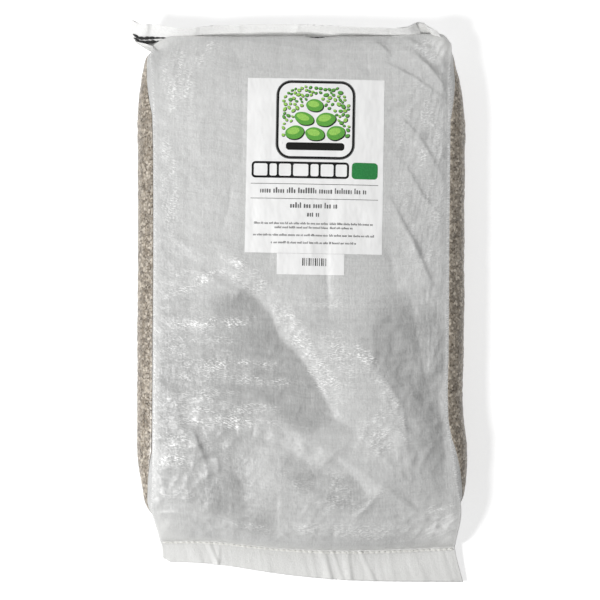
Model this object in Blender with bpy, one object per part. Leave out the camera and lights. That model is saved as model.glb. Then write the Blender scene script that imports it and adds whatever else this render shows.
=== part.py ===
"""A woven sack of pumice, sewn shut at both ends, lying on its back with its label up.

+Y points to the sewn head of the sack, +X to the right of the label and +Z up. The origin is the
middle of the flat underside. Sizes are in metres.

The sack is one surface. Each of its rows runs across the sack, from the foot hem's edge (row -1)
by the foot seam (row 0) and the head seam (row 1) to the head hem's edge (row 2). Across a row,
-1 is the left crease and 1 the right crease. Labels, print and sewing thread are thin layers that
follow the same surface.
"""

import math

import bmesh
import bpy
from mathutils import Vector

# Sack body
PANEL_HALF_WIDTH = 0.234
FOOT_SEAM_Y = -0.402
HEAD_SEAM_Y = 0.395
CREASE_HEIGHT = 0.065
PANEL_CROWN = 0.0225
GUSSET_BULGE = 0.026
UNDERSIDE_ROUNDING = 0.011
UNDERSIDE_ROUNDING_SHARE = 0.16

# How far from each seam the filling reaches its full height
HEAD_ROUNDING = 0.120
FOOT_ROUNDING = 0.170
UNDERSIDE_LIFT = 0.060
# How full the rounded ends and the crown are: 2 is a quarter of an ellipse, more is squarer
HEAD_FULLNESS = {"crease": 2.2, "middle": 3.2}
FOOT_FULLNESS = {"crease": 1.9, "middle": 2.3}
UNDERSIDE_FULLNESS = 2.2
CROWN_FULLNESS = 2.4
# How far from the head seam the filled end stands out over it most
OVERHANG_DISTANCE = 0.010

# Seams and hems
HEAD_SEAM_HEIGHT = 0.036
FOOT_SEAM_HEIGHT = 0.012
HEAD_HEM_DEPTH = 0.038
FOOT_HEM_DEPTH = 0.046
FOOT_HEM_SKEW = 0.0125
FOOT_HEM_DROP = 0.006
FOOT_HEM_CORNER = 0.006
HEM_THICKNESS = 0.003

# Where the gussets start to bulge, measured from the seams
GUSSET_HEAD_MARGIN = 0.018
GUSSET_FOOT_MARGIN_LEFT = 0.045
GUSSET_FOOT_MARGIN_RIGHT = 0.072
GUSSET_END_ROUNDING = 0.130
GUSSET_END_FULLNESS = 1.6
GUSSET_SECTION_POWER = 0.8

# Material thicknesses, and the gap that keeps neighbours apart
FABRIC = 0.0008
LABEL_PAPER = 0.0004
INK = 0.0003
THREAD_THICKNESS = 0.0014
CLEARANCE = 0.0003

# Sewing
THREAD_WIDTH = 0.0036
STITCH_LENGTH = 0.016
HEAD_THREAD_OFFSETS = {"inner": 0.008, "outer": 0.0145}
FOOT_THREAD_OFFSET = 0.004
THREAD_END_MARGIN = 0.03
STITCH_NECK = 0.55

# Labels, in plan: the main one's middle, and the stock label close under it
LABEL_X = 0.0203
LABEL_Y = 0.1955
LABEL_WIDTH = 0.2159
LABEL_HEIGHT = 0.2760
LABEL_TURN = math.radians(-1.0)
STOCK_LABEL_WIDTH = 0.106
STOCK_LABEL_HEIGHT = 0.033
STOCK_LABEL_SHIFT = -0.0041
STOCK_LABEL_GAP = 0.0005

# Print on the main label, from its top edge down
LABEL_TOP_MARGIN = 0.016 * LABEL_HEIGHT
EMBLEM_SIZE = 0.442 * LABEL_HEIGHT
EMBLEM_LINE = 0.0045
EMBLEM_CORNER = 0.18 * EMBLEM_SIZE
TITLE_GAP = 0.020 * LABEL_HEIGHT
TITLE_HEIGHT = 0.094 * LABEL_HEIGHT
TITLE_CORNER = 0.23 * TITLE_HEIGHT
RULE_HEIGHT = 0.0012
LARGE_TEXT = 0.029 * LABEL_HEIGHT
SMALL_TEXT = 0.0123 * LABEL_HEIGHT
BLOCK_GAP = 0.0308 * LABEL_HEIGHT
LINE_GAP = 0.0254 * LABEL_HEIGHT
TEXT_GAP = 0.0199 * LABEL_HEIGHT
SMALL_TEXT_GAP = 0.0112 * LABEL_HEIGHT
# The title's black bar and green bar, with a gap between them
TITLE_HALF_WIDTH = 0.46 * LABEL_WIDTH
TITLE_SPLIT = 0.26 * LABEL_WIDTH
TITLE_SPLIT_GAP = 0.0043
# Each line's name, height, gap over it and share of the label's width
PRINT_LINES = (
    ("rule_upper", RULE_HEIGHT, BLOCK_GAP, 0.93),
    ("text_line_1", LARGE_TEXT, LINE_GAP, 0.70),
    ("rule_lower", RULE_HEIGHT, LINE_GAP, 0.93),
    ("text_line_2", LARGE_TEXT, LINE_GAP, 0.35),
    ("text_line_3", LARGE_TEXT, TEXT_GAP, 0.10),
    ("text_line_4", SMALL_TEXT, BLOCK_GAP, 0.87),
    ("text_line_5", SMALL_TEXT, SMALL_TEXT_GAP, 0.57),
    ("text_line_6", SMALL_TEXT, BLOCK_GAP, 0.88),
    ("text_line_7", SMALL_TEXT, BLOCK_GAP, 0.62),
)

# Stones of the emblem: place, half length and half height as shares of its size, turn in degrees
STONES = (
    (-0.270, -0.164, 0.123, 0.086, 12),
    (-0.008, -0.180, 0.127, 0.082, -8),
    (0.262, -0.164, 0.119, 0.090, 16),
    (-0.148, 0.016, 0.123, 0.082, -18),
    (0.131, 0.008, 0.127, 0.086, 10),
    (-0.016, 0.189, 0.111, 0.078, -6),
)
STONE_SIDES = 10
# The bar under the stones: drop from the emblem's middle, width and height as shares of its size
EMBLEM_GROUND = (0.344, 0.754, 0.098)
EMBLEM_GROUND_CORNER = 0.4

# Barcode, from the stock label's middle
BARCODE_WIDTH = 0.36 * STOCK_LABEL_WIDTH
BARCODE_HEIGHT = 0.36 * STOCK_LABEL_HEIGHT
BARCODE_SHIFT = 0.057 * STOCK_LABEL_WIDTH
BARCODE_LIFT = 0.106 * STOCK_LABEL_HEIGHT
BARCODE_BARS = 12
BARCODE_SPINE = 0.1 * BARCODE_HEIGHT
NARROW_BAR, WIDE_BAR = 0.30, 0.55

# The slack panel's broad ridges and creases: start, end, half width and height
FOLDS = (
    ((-0.070, -0.015), (0.050, -0.200), 0.055, -0.0110),
    ((0.090, -0.090), (0.165, -0.270), 0.040, 0.0060),
    ((-0.150, 0.010), (-0.110, -0.190), 0.055, 0.0045),
    ((-0.130, -0.262), (-0.088, -0.345), 0.048, -0.0070),
    ((0.010, -0.190), (0.090, -0.222), 0.040, -0.0040),
    ((-0.010, -0.212), (0.160, -0.325), 0.035, 0.0040),
    ((0.165, -0.010), (0.200, -0.200), 0.040, -0.0070),
    ((0.134, 0.152), (0.205, 0.010), 0.035, -0.0045),
    ((0.146, 0.280), (0.220, 0.180), 0.035, -0.0030),
)
# Pleats of the hems: place across the sack, half width and height
FOOT_PLEATS = ((-0.74, 0.13, 0.0022), (0.12, 0.12, 0.0030), (0.32, 0.12, 0.0018), (0.62, 0.14, 0.0030))
HEAD_PLEATS = ((-0.90, 0.16, 0.0050), (-0.20, 0.16, 0.0020), (0.30, 0.15, 0.0022), (0.86, 0.14, 0.0060))

# Outline irregularities of this sack: place along or across it, and shift
LEFT_CREASE_SHIFT = (
    (-1, -0.0105), (0, -0.0060), (0.07, 0.0050), (0.11, 0.0025), (0.30, 0.0007), (0.77, 0.0009),
    (0.93, 0.0056), (0.965, 0.0085), (0.986, 0.0060), (1, 0.0270), (2, 0.0385),
)
RIGHT_CREASE_SHIFT = (
    (-1, 0.0255), (0, 0.0115), (0.07, 0.0185), (0.14, 0.0105), (0.20, 0.0040), (0.26, -0.0044),
    (0.40, -0.0035), (0.65, -0.0014), (0.95, 0.0015), (0.975, 0.0050), (0.99, 0.0020), (1, -0.0070),
    (2, -0.0200),
)
FOOT_SEAM_SHIFT = ((-1, 0.0015), (-0.67, 0.0015), (-0.15, -0.0100), (0.30, -0.0130), (1, -0.0065))
HEAD_SEAM_SHIFT = ((-1, 0.0110), (-0.88, 0.0020), (-0.7, 0.0), (1, 0.0))
HEAD_OVERHANG = (
    (-1, 0.0), (-0.94, 0.0140), (-0.80, 0.0150), (0.30, 0.0145), (0.70, 0.0190), (0.92, 0.0225),
    (1, 0.0),
)
# The share of its depth that the head hem covers in plan
HEAD_HEM_REACH = (
    (-1, 0.70), (-0.85, 0.80), (-0.68, 0.60), (-0.45, 0.74), (0, 0.82), (0.40, 0.72),
    (0.68, 0.66), (0.86, 0.95), (1, 0.80),
)

# Mesh density
PANEL_COLUMNS = 20
COLUMN_CROWDING = 0.25
GUSSET_COLUMNS = 4
BODY_ROWS = 32
ROW_CROWDING = 0.88
HEM_ROWS = 3
CAVITY_FIRST_ROW = 3
GUSSET_FIRST_ROW = {-1: 7, 1: 8}
GUSSET_LAST_ROW = BODY_ROWS - 4

# Zones that carry labels or thread, from row to row
FRONT = (0.4, 0.97)
HEAD_HEM = (1, 2)
FOOT_HEM = (-1, 0)


def clamp(value, low, high):
    return max(low, min(high, value))


def between(a, b, share):
    return a + (b - a) * share


def along(points, place):
    """A smooth curve through (place, value) points, level at the ones that are peaks."""
    place = clamp(place, points[0][0], points[-1][0])
    index = 0
    while points[index + 1][0] < place:
        index += 1

    def slope(i):
        before, after = points[max(i - 1, 0)], points[min(i + 1, len(points) - 1)]
        return (after[1] - before[1]) / (after[0] - before[0])

    (x0, y0), (x1, y1) = points[index], points[index + 1]
    span = x1 - x0
    t = (place - x0) / span
    return (
        (2 * t**3 - 3 * t**2 + 1) * y0
        + (t**3 - 2 * t**2 + t) * span * slope(index)
        + (3 * t**2 - 2 * t**3) * y1
        + (t**3 - t**2) * span * slope(index + 1)
    )


def quarter_round(share, power):
    """Rises from 0 to 1 as a quarter of a superellipse does."""
    share = clamp(share, 0.0, 1.0)
    return (1 - (1 - share) ** power) ** (1 / power)


def bump(share):
    """1 in the middle, and 0 from a distance of 1 on."""
    return (1 - share * share) ** 2 if abs(share) < 1 else 0.0


def head_seam_y(across):
    return HEAD_SEAM_Y + along(HEAD_SEAM_SHIFT, across)


def foot_seam_y(across):
    return FOOT_SEAM_Y + along(FOOT_SEAM_SHIFT, across)


def seam_distances(across, row):
    length = head_seam_y(across) - foot_seam_y(across)
    return row * length, (1 - row) * length


def head_hem_reach(across):
    """How far the head hem's edge lies beyond the seam, in plan: the rest of its depth is height."""
    return HEAD_HEM_DEPTH * along(HEAD_HEM_REACH, across)


def foot_hem_reach(across):
    corner_place = (across + 1) * PANEL_HALF_WIDTH
    rounded_corner = FOOT_HEM_CORNER * bump(corner_place / (2 * FOOT_HEM_CORNER))
    return FOOT_HEM_DEPTH + FOOT_HEM_SKEW * across - rounded_corner


def place_y(across, row, share=1.0):
    """The place along the sack, for a point that lies a share of the way from the underside to the front."""
    if row < 0:
        return foot_seam_y(across) + row * foot_hem_reach(across)
    if row > 1:
        return head_seam_y(across) + (row - 1) * head_hem_reach(across)
    distance = seam_distances(across, row)[1] / OVERHANG_DISTANCE
    overhang = along(HEAD_OVERHANG, across) * distance * math.exp(1 - distance)
    return between(foot_seam_y(across), head_seam_y(across), row) + share * overhang


def crease_x(side, row):
    shift = along(LEFT_CREASE_SHIFT if side < 0 else RIGHT_CREASE_SHIFT, row)
    return side * (PANEL_HALF_WIDTH + shift)


def place_x(across, row):
    return between(crease_x(-1, row), crease_x(1, row), (across + 1) / 2)


def seam_height(row):
    return between(FOOT_SEAM_HEIGHT, HEAD_SEAM_HEIGHT, clamp(row, 0.0, 1.0))


def hem_middle(across, row):
    """Height of the middle of a hem's thickness."""
    if row > 1:
        reach = head_hem_reach(across)
        rise = math.sqrt(max(HEAD_HEM_DEPTH**2 - reach**2, 0.0))
        pleats = sum(high * bump((across - middle) / half) for middle, half, high in HEAD_PLEATS)
        return HEAD_SEAM_HEIGHT + (row - 1) * (rise + pleats)
    pleats = sum(high * bump((across - middle) / half) for middle, half, high in FOOT_PLEATS)
    return FOOT_SEAM_HEIGHT + row * (FOOT_HEM_DROP - pleats)


def fold_height(x, y):
    """The ridges and hollows at a point of the front panel, in plan."""
    total = 0.0
    for (x0, y0), (x1, y1), half_width, height in FOLDS:
        length = math.hypot(x1 - x0, y1 - y0)
        share = clamp(((x - x0) * (x1 - x0) + (y - y0) * (y1 - y0)) / length**2, 0.0, 1.0)
        off = math.hypot(x - between(x0, x1, share), y - between(y0, y1, share))
        total += height * bump(off / half_width)
    return total


def top_height(across, row):
    """Height of the front panel, or of a hem's upper face."""
    if not 0 < row < 1:
        return hem_middle(across, row) + HEM_THICKNESS / 2
    from_foot, from_head = seam_distances(across, row)
    base = seam_height(row) + HEM_THICKNESS / 2
    edge, middle = (
        quarter_round(from_foot / FOOT_ROUNDING, FOOT_FULLNESS[where])
        * quarter_round(from_head / HEAD_ROUNDING, HEAD_FULLNESS[where])
        for where in ("crease", "middle")
    )
    crowned = 1 - abs(across) ** CROWN_FULLNESS
    swell = between(edge, middle, crowned)
    fold = fold_height(place_x(across, row), place_y(across, row)) * crowned * middle
    return base + (CREASE_HEIGHT + PANEL_CROWN * crowned - base) * swell + fold


def low_height(across, row):
    """Height of the underside: 0 where it lies on the floor."""
    if not 0 < row < 1:
        return hem_middle(across, row) - HEM_THICKNESS / 2
    from_foot, from_head = seam_distances(across, row)
    near_foot, near_head = (quarter_round(d / UNDERSIDE_LIFT, UNDERSIDE_FULLNESS) for d in (from_foot, from_head))
    return (seam_height(row) - HEM_THICKNESS / 2) * (1 - near_foot * near_head)


def top_point(across, row):
    return Vector((place_x(across, row), place_y(across, row), top_height(across, row)))


def lower_crease_height(side, row):
    top, low = top_height(side, row), low_height(side, row)
    return low + min(UNDERSIDE_ROUNDING, UNDERSIDE_ROUNDING_SHARE * (top - low))


def gusset_bulge(side, row):
    if not 0 < row < 1:
        return 0.0
    from_foot, from_head = seam_distances(side, row)
    foot_margin = GUSSET_FOOT_MARGIN_LEFT if side < 0 else GUSSET_FOOT_MARGIN_RIGHT
    foot = quarter_round((from_foot - foot_margin) / GUSSET_END_ROUNDING, GUSSET_END_FULLNESS)
    head = quarter_round((from_head - GUSSET_HEAD_MARGIN) / GUSSET_END_ROUNDING, GUSSET_END_FULLNESS)
    return GUSSET_BULGE * foot * head


def side_point(side, share, row, inset):
    """A point of a side wall, from its lower crease (share 0) to its upper one (share 1)."""
    low, high = lower_crease_height(side, row), top_height(side, row)
    height = between(low + inset, high - inset, share)
    full_share = clamp((height - low) / (high - low), 0.0, 1.0)
    out = gusset_bulge(side, row) * math.sin(math.pi * full_share) ** GUSSET_SECTION_POWER
    return Vector((crease_x(side, row) + side * (out - inset), place_y(side, row, full_share), height))


def side_points(side, row, inset):
    """The points of a side wall from crease to crease: down the right side, up the left."""
    shares = [i / GUSSET_COLUMNS for i in range(GUSSET_COLUMNS + 1)]
    return [side_point(side, 1 - s if side > 0 else s, row, inset) for s in shares]


def column(index):
    """The place across the sack of a column of points: they are closer together near the creases."""
    place = 2 * index / PANEL_COLUMNS - 1
    return place * (1 + COLUMN_CROWDING * (1 - place * place))


def ring(row, inset):
    """The section at a row: over the front panel, down the right, along the underside, up the left."""
    across = [column(i) for i in range(1, PANEL_COLUMNS)]
    right, left = side_points(1, row, inset), side_points(-1, row, inset)
    front = [Vector((place_x(a, row), place_y(a, row), top_height(a, row) - inset)) for a in across]
    under = [Vector((place_x(-a, row), place_y(-a, row, 0), low_height(-a, row) + inset)) for a in across]
    return [left[-1], *front, *right, *under, *left[:-1]]


RIGHT_CREASE_INDEX = PANEL_COLUMNS
RIGHT_LOWER_INDEX = RIGHT_CREASE_INDEX + GUSSET_COLUMNS
LEFT_LOWER_INDEX = RIGHT_LOWER_INDEX + PANEL_COLUMNS
RING_SIZE = LEFT_LOWER_INDEX + GUSSET_COLUMNS


def body_row(index):
    """Row values from seam to seam, closer together near the seams."""
    t = index / BODY_ROWS
    return t - ROW_CROWDING * math.sin(2 * math.pi * t) / (2 * math.pi)


def all_rows():
    foot = [-1 + i / HEM_ROWS for i in range(HEM_ROWS)]
    head = [1 + i / HEM_ROWS for i in range(1, HEM_ROWS + 1)]
    return foot + [body_row(i) for i in range(BODY_ROWS + 1)] + head


def blended(ring_a, ring_b, distance):
    """The ring that lies a distance along from one ring towards the next, on the flat faces between them."""
    share = distance / abs(ring_b[0].y - ring_a[0].y)
    return [a.lerp(b, share) for a, b in zip(ring_a, ring_b)]


def side_of(index):
    """-1 or 1 where the face after this ring point is in a side wall, and 0 elsewhere."""
    if RIGHT_CREASE_INDEX <= index < RIGHT_LOWER_INDEX:
        return 1
    return -1 if index >= LEFT_LOWER_INDEX else 0


def in_window(index, body_index):
    """True if the face after this ring point, between two rows of the body, is left to the clear gusset."""
    side = side_of(index)
    return side != 0 and GUSSET_FIRST_ROW[side] <= body_index < GUSSET_LAST_ROW


def material(name, colour, roughness, metallic=0.0):
    made = bpy.data.materials.new(name)
    made.use_nodes = True
    shader = made.node_tree.nodes["Principled BSDF"]
    shader.inputs["Base Color"].default_value = (*colour, 1.0)
    shader.inputs["Roughness"].default_value = roughness
    shader.inputs["Metallic"].default_value = metallic
    return made


def add_object(name, mesh, finish):
    mesh.materials.append(finish)
    made = bpy.data.objects.new(name, mesh)
    bpy.context.scene.collection.objects.link(made)
    return made


def mesh_from(bm, name, smooth=True):
    bmesh.ops.recalc_face_normals(bm, faces=bm.faces)
    mesh = bpy.data.meshes.new(name)
    bm.to_mesh(mesh)
    bm.free()
    if smooth:
        mesh.shade_smooth()
        mesh.set_sharp_from_angle(angle=math.radians(35))
    return mesh


def add_rings(bm, rings):
    return [[bm.verts.new(point) for point in points] for points in rings]


def add_quad(bm, a, b, c, d):
    """Two triangles, split the same way in every layer, so that the layers keep their distance."""
    bm.faces.new((a, b, c))
    bm.faces.new((a, c, d))


def join_rows(bm, first, second, closed=True, skip=lambda index: False):
    for i in range(len(first) if closed else len(first) - 1):
        if not skip(i):
            j = (i + 1) % len(first)
            add_quad(bm, first[i], first[j], second[j], second[i])


def merge_floor(bm, height):
    """Makes one face of the flat faces that lie at a height."""
    flat = [f for f in bm.faces if all(abs(v.co.z - height) < 1e-6 for v in f.verts)]
    bmesh.ops.dissolve_faces(bm, faces=flat)


def cap(bm, ring_verts):
    """Closes a ring by joining each point of the front panel to the one below it."""
    top = ring_verts[: RIGHT_CREASE_INDEX + 1]
    low = ring_verts[RIGHT_LOWER_INDEX : LEFT_LOWER_INDEX + 1][::-1]
    for i in range(1, PANEL_COLUMNS - 1):
        add_quad(bm, top[i], top[i + 1], low[i + 1], low[i])
    right = ring_verts[RIGHT_CREASE_INDEX - 1 : RIGHT_LOWER_INDEX + 2]
    left = ring_verts[LEFT_LOWER_INDEX - 1 :] + ring_verts[:2]
    bm.faces.new(right)
    bm.faces.new(left)


def make_sack(finish):
    """The white fabric: a shell round the filling, flat hems beyond it, and a window in each side."""
    bm = bmesh.new()
    outer = add_rings(bm, [ring(row, 0.0) for row in all_rows()])
    for index, (first, second) in enumerate(zip(outer, outer[1:])):
        body_index = index - HEM_ROWS
        join_rows(bm, first, second, skip=lambda i, b=body_index: in_window(i, b))
    cap(bm, outer[0])
    cap(bm, outer[-1])

    cavity_rows = range(CAVITY_FIRST_ROW, BODY_ROWS - CAVITY_FIRST_ROW + 1)
    inner = dict(zip(cavity_rows, add_rings(bm, [ring(body_row(i), FABRIC) for i in cavity_rows])))
    for body_index in cavity_rows[:-1]:
        edges = inner[body_index], inner[body_index + 1]
        join_rows(bm, *edges, skip=lambda i, b=body_index: in_window(i, b))
    cap(bm, inner[cavity_rows[0]])
    cap(bm, inner[cavity_rows[-1]])

    for side, top, low in ((1, RIGHT_CREASE_INDEX, RIGHT_LOWER_INDEX), (-1, RING_SIZE, LEFT_LOWER_INDEX)):
        rows = range(GUSSET_FIRST_ROW[side], GUSSET_LAST_ROW + 1)
        for row in rows[:-1]:
            for i in (top % RING_SIZE, low):
                edge = (outer[row + HEM_ROWS][i], outer[row + 1 + HEM_ROWS][i])
                add_quad(bm, *edge, inner[row + 1][i], inner[row][i])
        for row in (rows[0], rows[-1]):
            for i in range(min(top, low), max(top, low)):
                j = (i + 1) % RING_SIZE
                edge = (outer[row + HEM_ROWS][i], outer[row + HEM_ROWS][j])
                add_quad(bm, *edge, inner[row][j], inner[row][i])
    merge_floor(bm, 0.0)
    merge_floor(bm, FABRIC)
    return add_object("woven_sack", mesh_from(bm, "woven_sack"), finish)


def join_layers(bm, low, high):
    """Closes two grids of points, one over the other, to a sheet."""
    for grid in (low, high):
        for row, following in zip(grid, grid[1:]):
            join_rows(bm, row, following, closed=False)
    join_rows(bm, low[0], high[0], closed=False)
    join_rows(bm, low[-1], high[-1], closed=False)
    for end in (0, -1):
        join_rows(bm, [row[end] for row in low], [row[end] for row in high], closed=False)


def make_gusset(side, name, finish):
    """A clear side panel, which fills the window between the creases."""
    first, last = GUSSET_FIRST_ROW[side], GUSSET_LAST_ROW

    def strip(body_index, inset):
        points = side_points(side, body_row(body_index), FABRIC + CLEARANCE)
        return [p + Vector((side * (FABRIC + CLEARANCE - inset), 0, 0)) for p in points]

    bm = bmesh.new()
    layers = []
    for inset in (0.0, FABRIC):
        rows = [strip(i, inset) for i in range(first, last + 1)]
        ends = blended(rows[0], rows[1], CLEARANCE), blended(rows[-1], rows[-2], CLEARANCE)
        rows[0], rows[-1] = ends
        layers.append([[bm.verts.new(p) for p in row] for row in rows])
    join_layers(bm, *layers)
    return add_object(name, mesh_from(bm, name), finish)


def make_filling(finish):
    """The pumice: the same form as the sack's inside, a clearance smaller."""
    inset = FABRIC + CLEARANCE
    first, last = CAVITY_FIRST_ROW, BODY_ROWS - CAVITY_FIRST_ROW
    rings = [ring(body_row(i), inset) for i in range(first, last + 1)]
    ends = blended(rings[0], rings[1], CLEARANCE), blended(rings[-1], rings[-2], CLEARANCE)
    rings[0], rings[-1] = ends
    bm = bmesh.new()
    made = add_rings(bm, rings)
    for a, b in zip(made, made[1:]):
        join_rows(bm, a, b)
    cap(bm, made[0])
    cap(bm, made[-1])
    merge_floor(bm, inset)
    return add_object("pumice_fill", mesh_from(bm, "pumice_fill"), finish)


def layer_mesh(name, zone, start, thickness):
    """A sheet over one zone of the front face or of a hem, a start height above the fabric."""
    bm = bmesh.new()
    grids = []
    for lift in (start, start + thickness):
        grid = []
        for row in (r for r in all_rows() if zone[0] <= r <= zone[1]):
            points = [top_point(column(i), row) for i in range(PANEL_COLUMNS + 1)]
            grid.append([bm.verts.new(p + Vector((0, 0, lift))) for p in points])
        grids.append(grid)
    join_layers(bm, *grids)
    return mesh_from(bm, name)


def upright_prism(name, outline):
    """A tall closed prism over a plan outline, which cuts a layer to shape."""
    height = 2 * (CREASE_HEIGHT + PANEL_CROWN)
    bm = bmesh.new()
    base = [bm.verts.new((x, y, -height)) for x, y in outline]
    face = bm.faces.new(base)
    raised = bmesh.ops.extrude_face_region(bm, geom=[face])
    corners = [v for v in raised["geom"] if isinstance(v, bmesh.types.BMVert)]
    bmesh.ops.translate(bm, verts=corners, vec=(0, 0, 2 * height))
    made = bpy.data.objects.new(name, mesh_from(bm, name, smooth=False))
    bpy.context.scene.collection.objects.link(made)
    made.hide_render = True
    made.display_type = "WIRE"
    return made


def cut_layer(name, zone, outline, start, thickness, finish, hole=None):
    """The piece of a layer inside a plan outline, less a hole."""
    made = add_object(name, layer_mesh(name, zone, start, thickness), finish)
    shape = made.modifiers.new("outline", "BOOLEAN")
    shape.operation = "INTERSECT"
    shape.object = upright_prism(name + "_outline", outline)
    if hole:
        opening = made.modifiers.new("hole", "BOOLEAN")
        opening.operation = "DIFFERENCE"
        opening.object = upright_prism(name + "_hole", hole)
    return made


def box_outline(middle_x, middle_y, width, height):
    x, y = width / 2, height / 2
    return [(middle_x + a * x, middle_y + b * y) for a, b in ((-1, -1), (1, -1), (1, 1), (-1, 1))]


def rounded_outline(middle_x, middle_y, width, height, corner, steps=5):
    points = []
    for quarter, (a, b) in enumerate(((1, 1), (-1, 1), (-1, -1), (1, -1))):
        x, y = middle_x + a * (width / 2 - corner), middle_y + b * (height / 2 - corner)
        for step in range(steps + 1):
            angle = (quarter + step / steps) * math.pi / 2
            points.append((x + corner * math.cos(angle), y + corner * math.sin(angle)))
    return points


def stone_outline(middle_x, middle_y, half_length, half_height, turn):
    turn = math.radians(turn)
    points = []
    for i in range(STONE_SIDES):
        angle = 2 * math.pi * i / STONE_SIDES
        x, y = half_length * math.cos(angle), half_height * math.sin(angle)
        points.append(
            (
                middle_x + x * math.cos(turn) - y * math.sin(turn),
                middle_y + x * math.sin(turn) + y * math.cos(turn),
            )
        )
    return points


def barcode_outline(middle_x, middle_y, width, height):
    """A comb: upright bars of two widths that stand on a thin spine."""
    left, low = middle_x - width / 2, middle_y - height / 2
    pitch = width / (BARCODE_BARS - 0.5)
    points = [(left, low)]
    for i in range(BARCODE_BARS):
        start = left + i * pitch
        bar = pitch * (NARROW_BAR if i % 3 else WIDE_BAR)
        if i:
            points.append((start, low + BARCODE_SPINE))
        points += [(start, low + height), (start + bar, low + height), (start + bar, low + BARCODE_SPINE)]
    end = points.pop()[0]
    return points + [(end, low)]


def on_label(outline):
    """Moves an outline given from the main label's middle to its place on the sack."""
    c, s = math.cos(LABEL_TURN), math.sin(LABEL_TURN)
    return [(LABEL_X + x * c - y * s, LABEL_Y + x * s + y * c) for x, y in outline]


def thread_outline(offset, depth, outward):
    """A chain of stitches at a distance from a seam: wide in the middle of each stitch, narrow at its ends."""
    seam_row = max(outward, 0)
    stitches = int((crease_x(1, seam_row) - crease_x(-1, seam_row)) / STITCH_LENGTH)
    steps = 2 * stitches
    upper, lower = [], []
    for i in range(steps + 1):
        across = (1 - THREAD_END_MARGIN) * (2 * i / steps - 1)
        half = THREAD_WIDTH / 2 * (1.0 if i % 2 else STITCH_NECK)
        for points, shift in ((upper, half), (lower, -half)):
            row = seam_row + outward * (offset + shift) / depth
            points.append((place_x(across, row), place_y(across, row)))
    return lower + upper[::-1]


def make_threads(black, white):
    for name, offset in HEAD_THREAD_OFFSETS.items():
        outline = thread_outline(offset, HEAD_HEM_DEPTH, 1)
        cut_layer(f"head_thread_{name}", HEAD_HEM, outline, CLEARANCE, THREAD_THICKNESS, black)
    outline = thread_outline(FOOT_THREAD_OFFSET, FOOT_HEM_DEPTH, -1)
    cut_layer("foot_thread", FOOT_HEM, outline, CLEARANCE, THREAD_THICKNESS, white)


def make_paper(name, outline, paper):
    return cut_layer(name, FRONT, on_label(outline), CLEARANCE, LABEL_PAPER, paper)


def make_print(name, outline, ink, hole=None):
    start = 2 * CLEARANCE + LABEL_PAPER
    opening = on_label(hole) if hole else None
    return cut_layer(name, FRONT, on_label(outline), start, INK, ink, opening)


def make_emblem(middle_y, dark, green):
    """A heap of stones on the ground, in a frame with round corners."""
    inside = EMBLEM_SIZE - 2 * EMBLEM_LINE
    frame = rounded_outline(0, middle_y, EMBLEM_SIZE, EMBLEM_SIZE, EMBLEM_CORNER)
    opening = rounded_outline(0, middle_y, inside, inside, EMBLEM_CORNER - EMBLEM_LINE)
    make_print("emblem_frame", frame, dark, opening)
    drop, width, height = (EMBLEM_SIZE * share for share in EMBLEM_GROUND)
    ground = rounded_outline(0, middle_y - drop, width, height, EMBLEM_GROUND_CORNER * height)
    make_print("emblem_ground", ground, dark)
    for number, (*shares, turn) in enumerate(STONES, 1):
        x, y, half_length, half_height = (EMBLEM_SIZE * share for share in shares)
        make_print(f"emblem_stone_{number}", stone_outline(x, middle_y + y, half_length, half_height, turn), green)


def make_main_label(paper, dark, green, grey):
    make_paper("main_label", box_outline(0, 0, LABEL_WIDTH, LABEL_HEIGHT), paper)
    y = LABEL_HEIGHT / 2 - LABEL_TOP_MARGIN - EMBLEM_SIZE
    make_emblem(y + EMBLEM_SIZE / 2, dark, green)

    y -= TITLE_GAP + TITLE_HEIGHT
    band = -TITLE_HALF_WIDTH, TITLE_SPLIT - TITLE_SPLIT_GAP / 2
    accent = TITLE_SPLIT + TITLE_SPLIT_GAP / 2, TITLE_HALF_WIDTH
    for name, (left, right), ink in (("title_band", band, dark), ("title_accent", accent, green)):
        middle = (left + right) / 2, y + TITLE_HEIGHT / 2
        bar = rounded_outline(*middle, right - left, TITLE_HEIGHT, TITLE_CORNER, steps=2)
        make_print(name, bar, ink)

    for name, height, gap, share in PRINT_LINES:
        y -= gap + height
        make_print(name, box_outline(0, y + height / 2, share * LABEL_WIDTH, height), grey)


def make_stock_label(paper, dark):
    x, y = STOCK_LABEL_SHIFT, -(LABEL_HEIGHT + STOCK_LABEL_HEIGHT) / 2 - STOCK_LABEL_GAP
    make_paper("stock_label", box_outline(x, y, STOCK_LABEL_WIDTH, STOCK_LABEL_HEIGHT), paper)
    place = x + BARCODE_SHIFT, y + BARCODE_LIFT
    make_print("barcode", barcode_outline(*place, BARCODE_WIDTH, BARCODE_HEIGHT), dark)


def main():
    for old in list(bpy.data.objects):
        bpy.data.objects.remove(old)
    white_fabric = material("white woven polypropylene", (0.60, 0.60, 0.59), 0.45)
    clear_fabric = material("clear woven polypropylene over pumice", (0.22, 0.18, 0.14), 0.35)
    pumice = material("pumice", (0.20, 0.165, 0.13), 0.95)
    black_thread = material("black sewing thread", (0.01, 0.01, 0.01), 0.7)
    white_thread = material("white sewing thread", (0.62, 0.61, 0.58), 0.8)
    paper = material("label paper", (0.80, 0.80, 0.79), 0.55)
    dark_ink = material("black print", (0.012, 0.012, 0.012), 0.5)
    green_ink = material("green print", (0.10, 0.32, 0.05), 0.5)
    grey_ink = material("grey print", (0.10, 0.10, 0.10), 0.5)

    make_sack(white_fabric)
    make_gusset(-1, "gusset_left", clear_fabric)
    make_gusset(1, "gusset_right", clear_fabric)
    make_filling(pumice)
    make_threads(black_thread, white_thread)
    make_main_label(paper, dark_ink, green_ink, grey_ink)
    make_stock_label(paper, dark_ink)


main()
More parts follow.
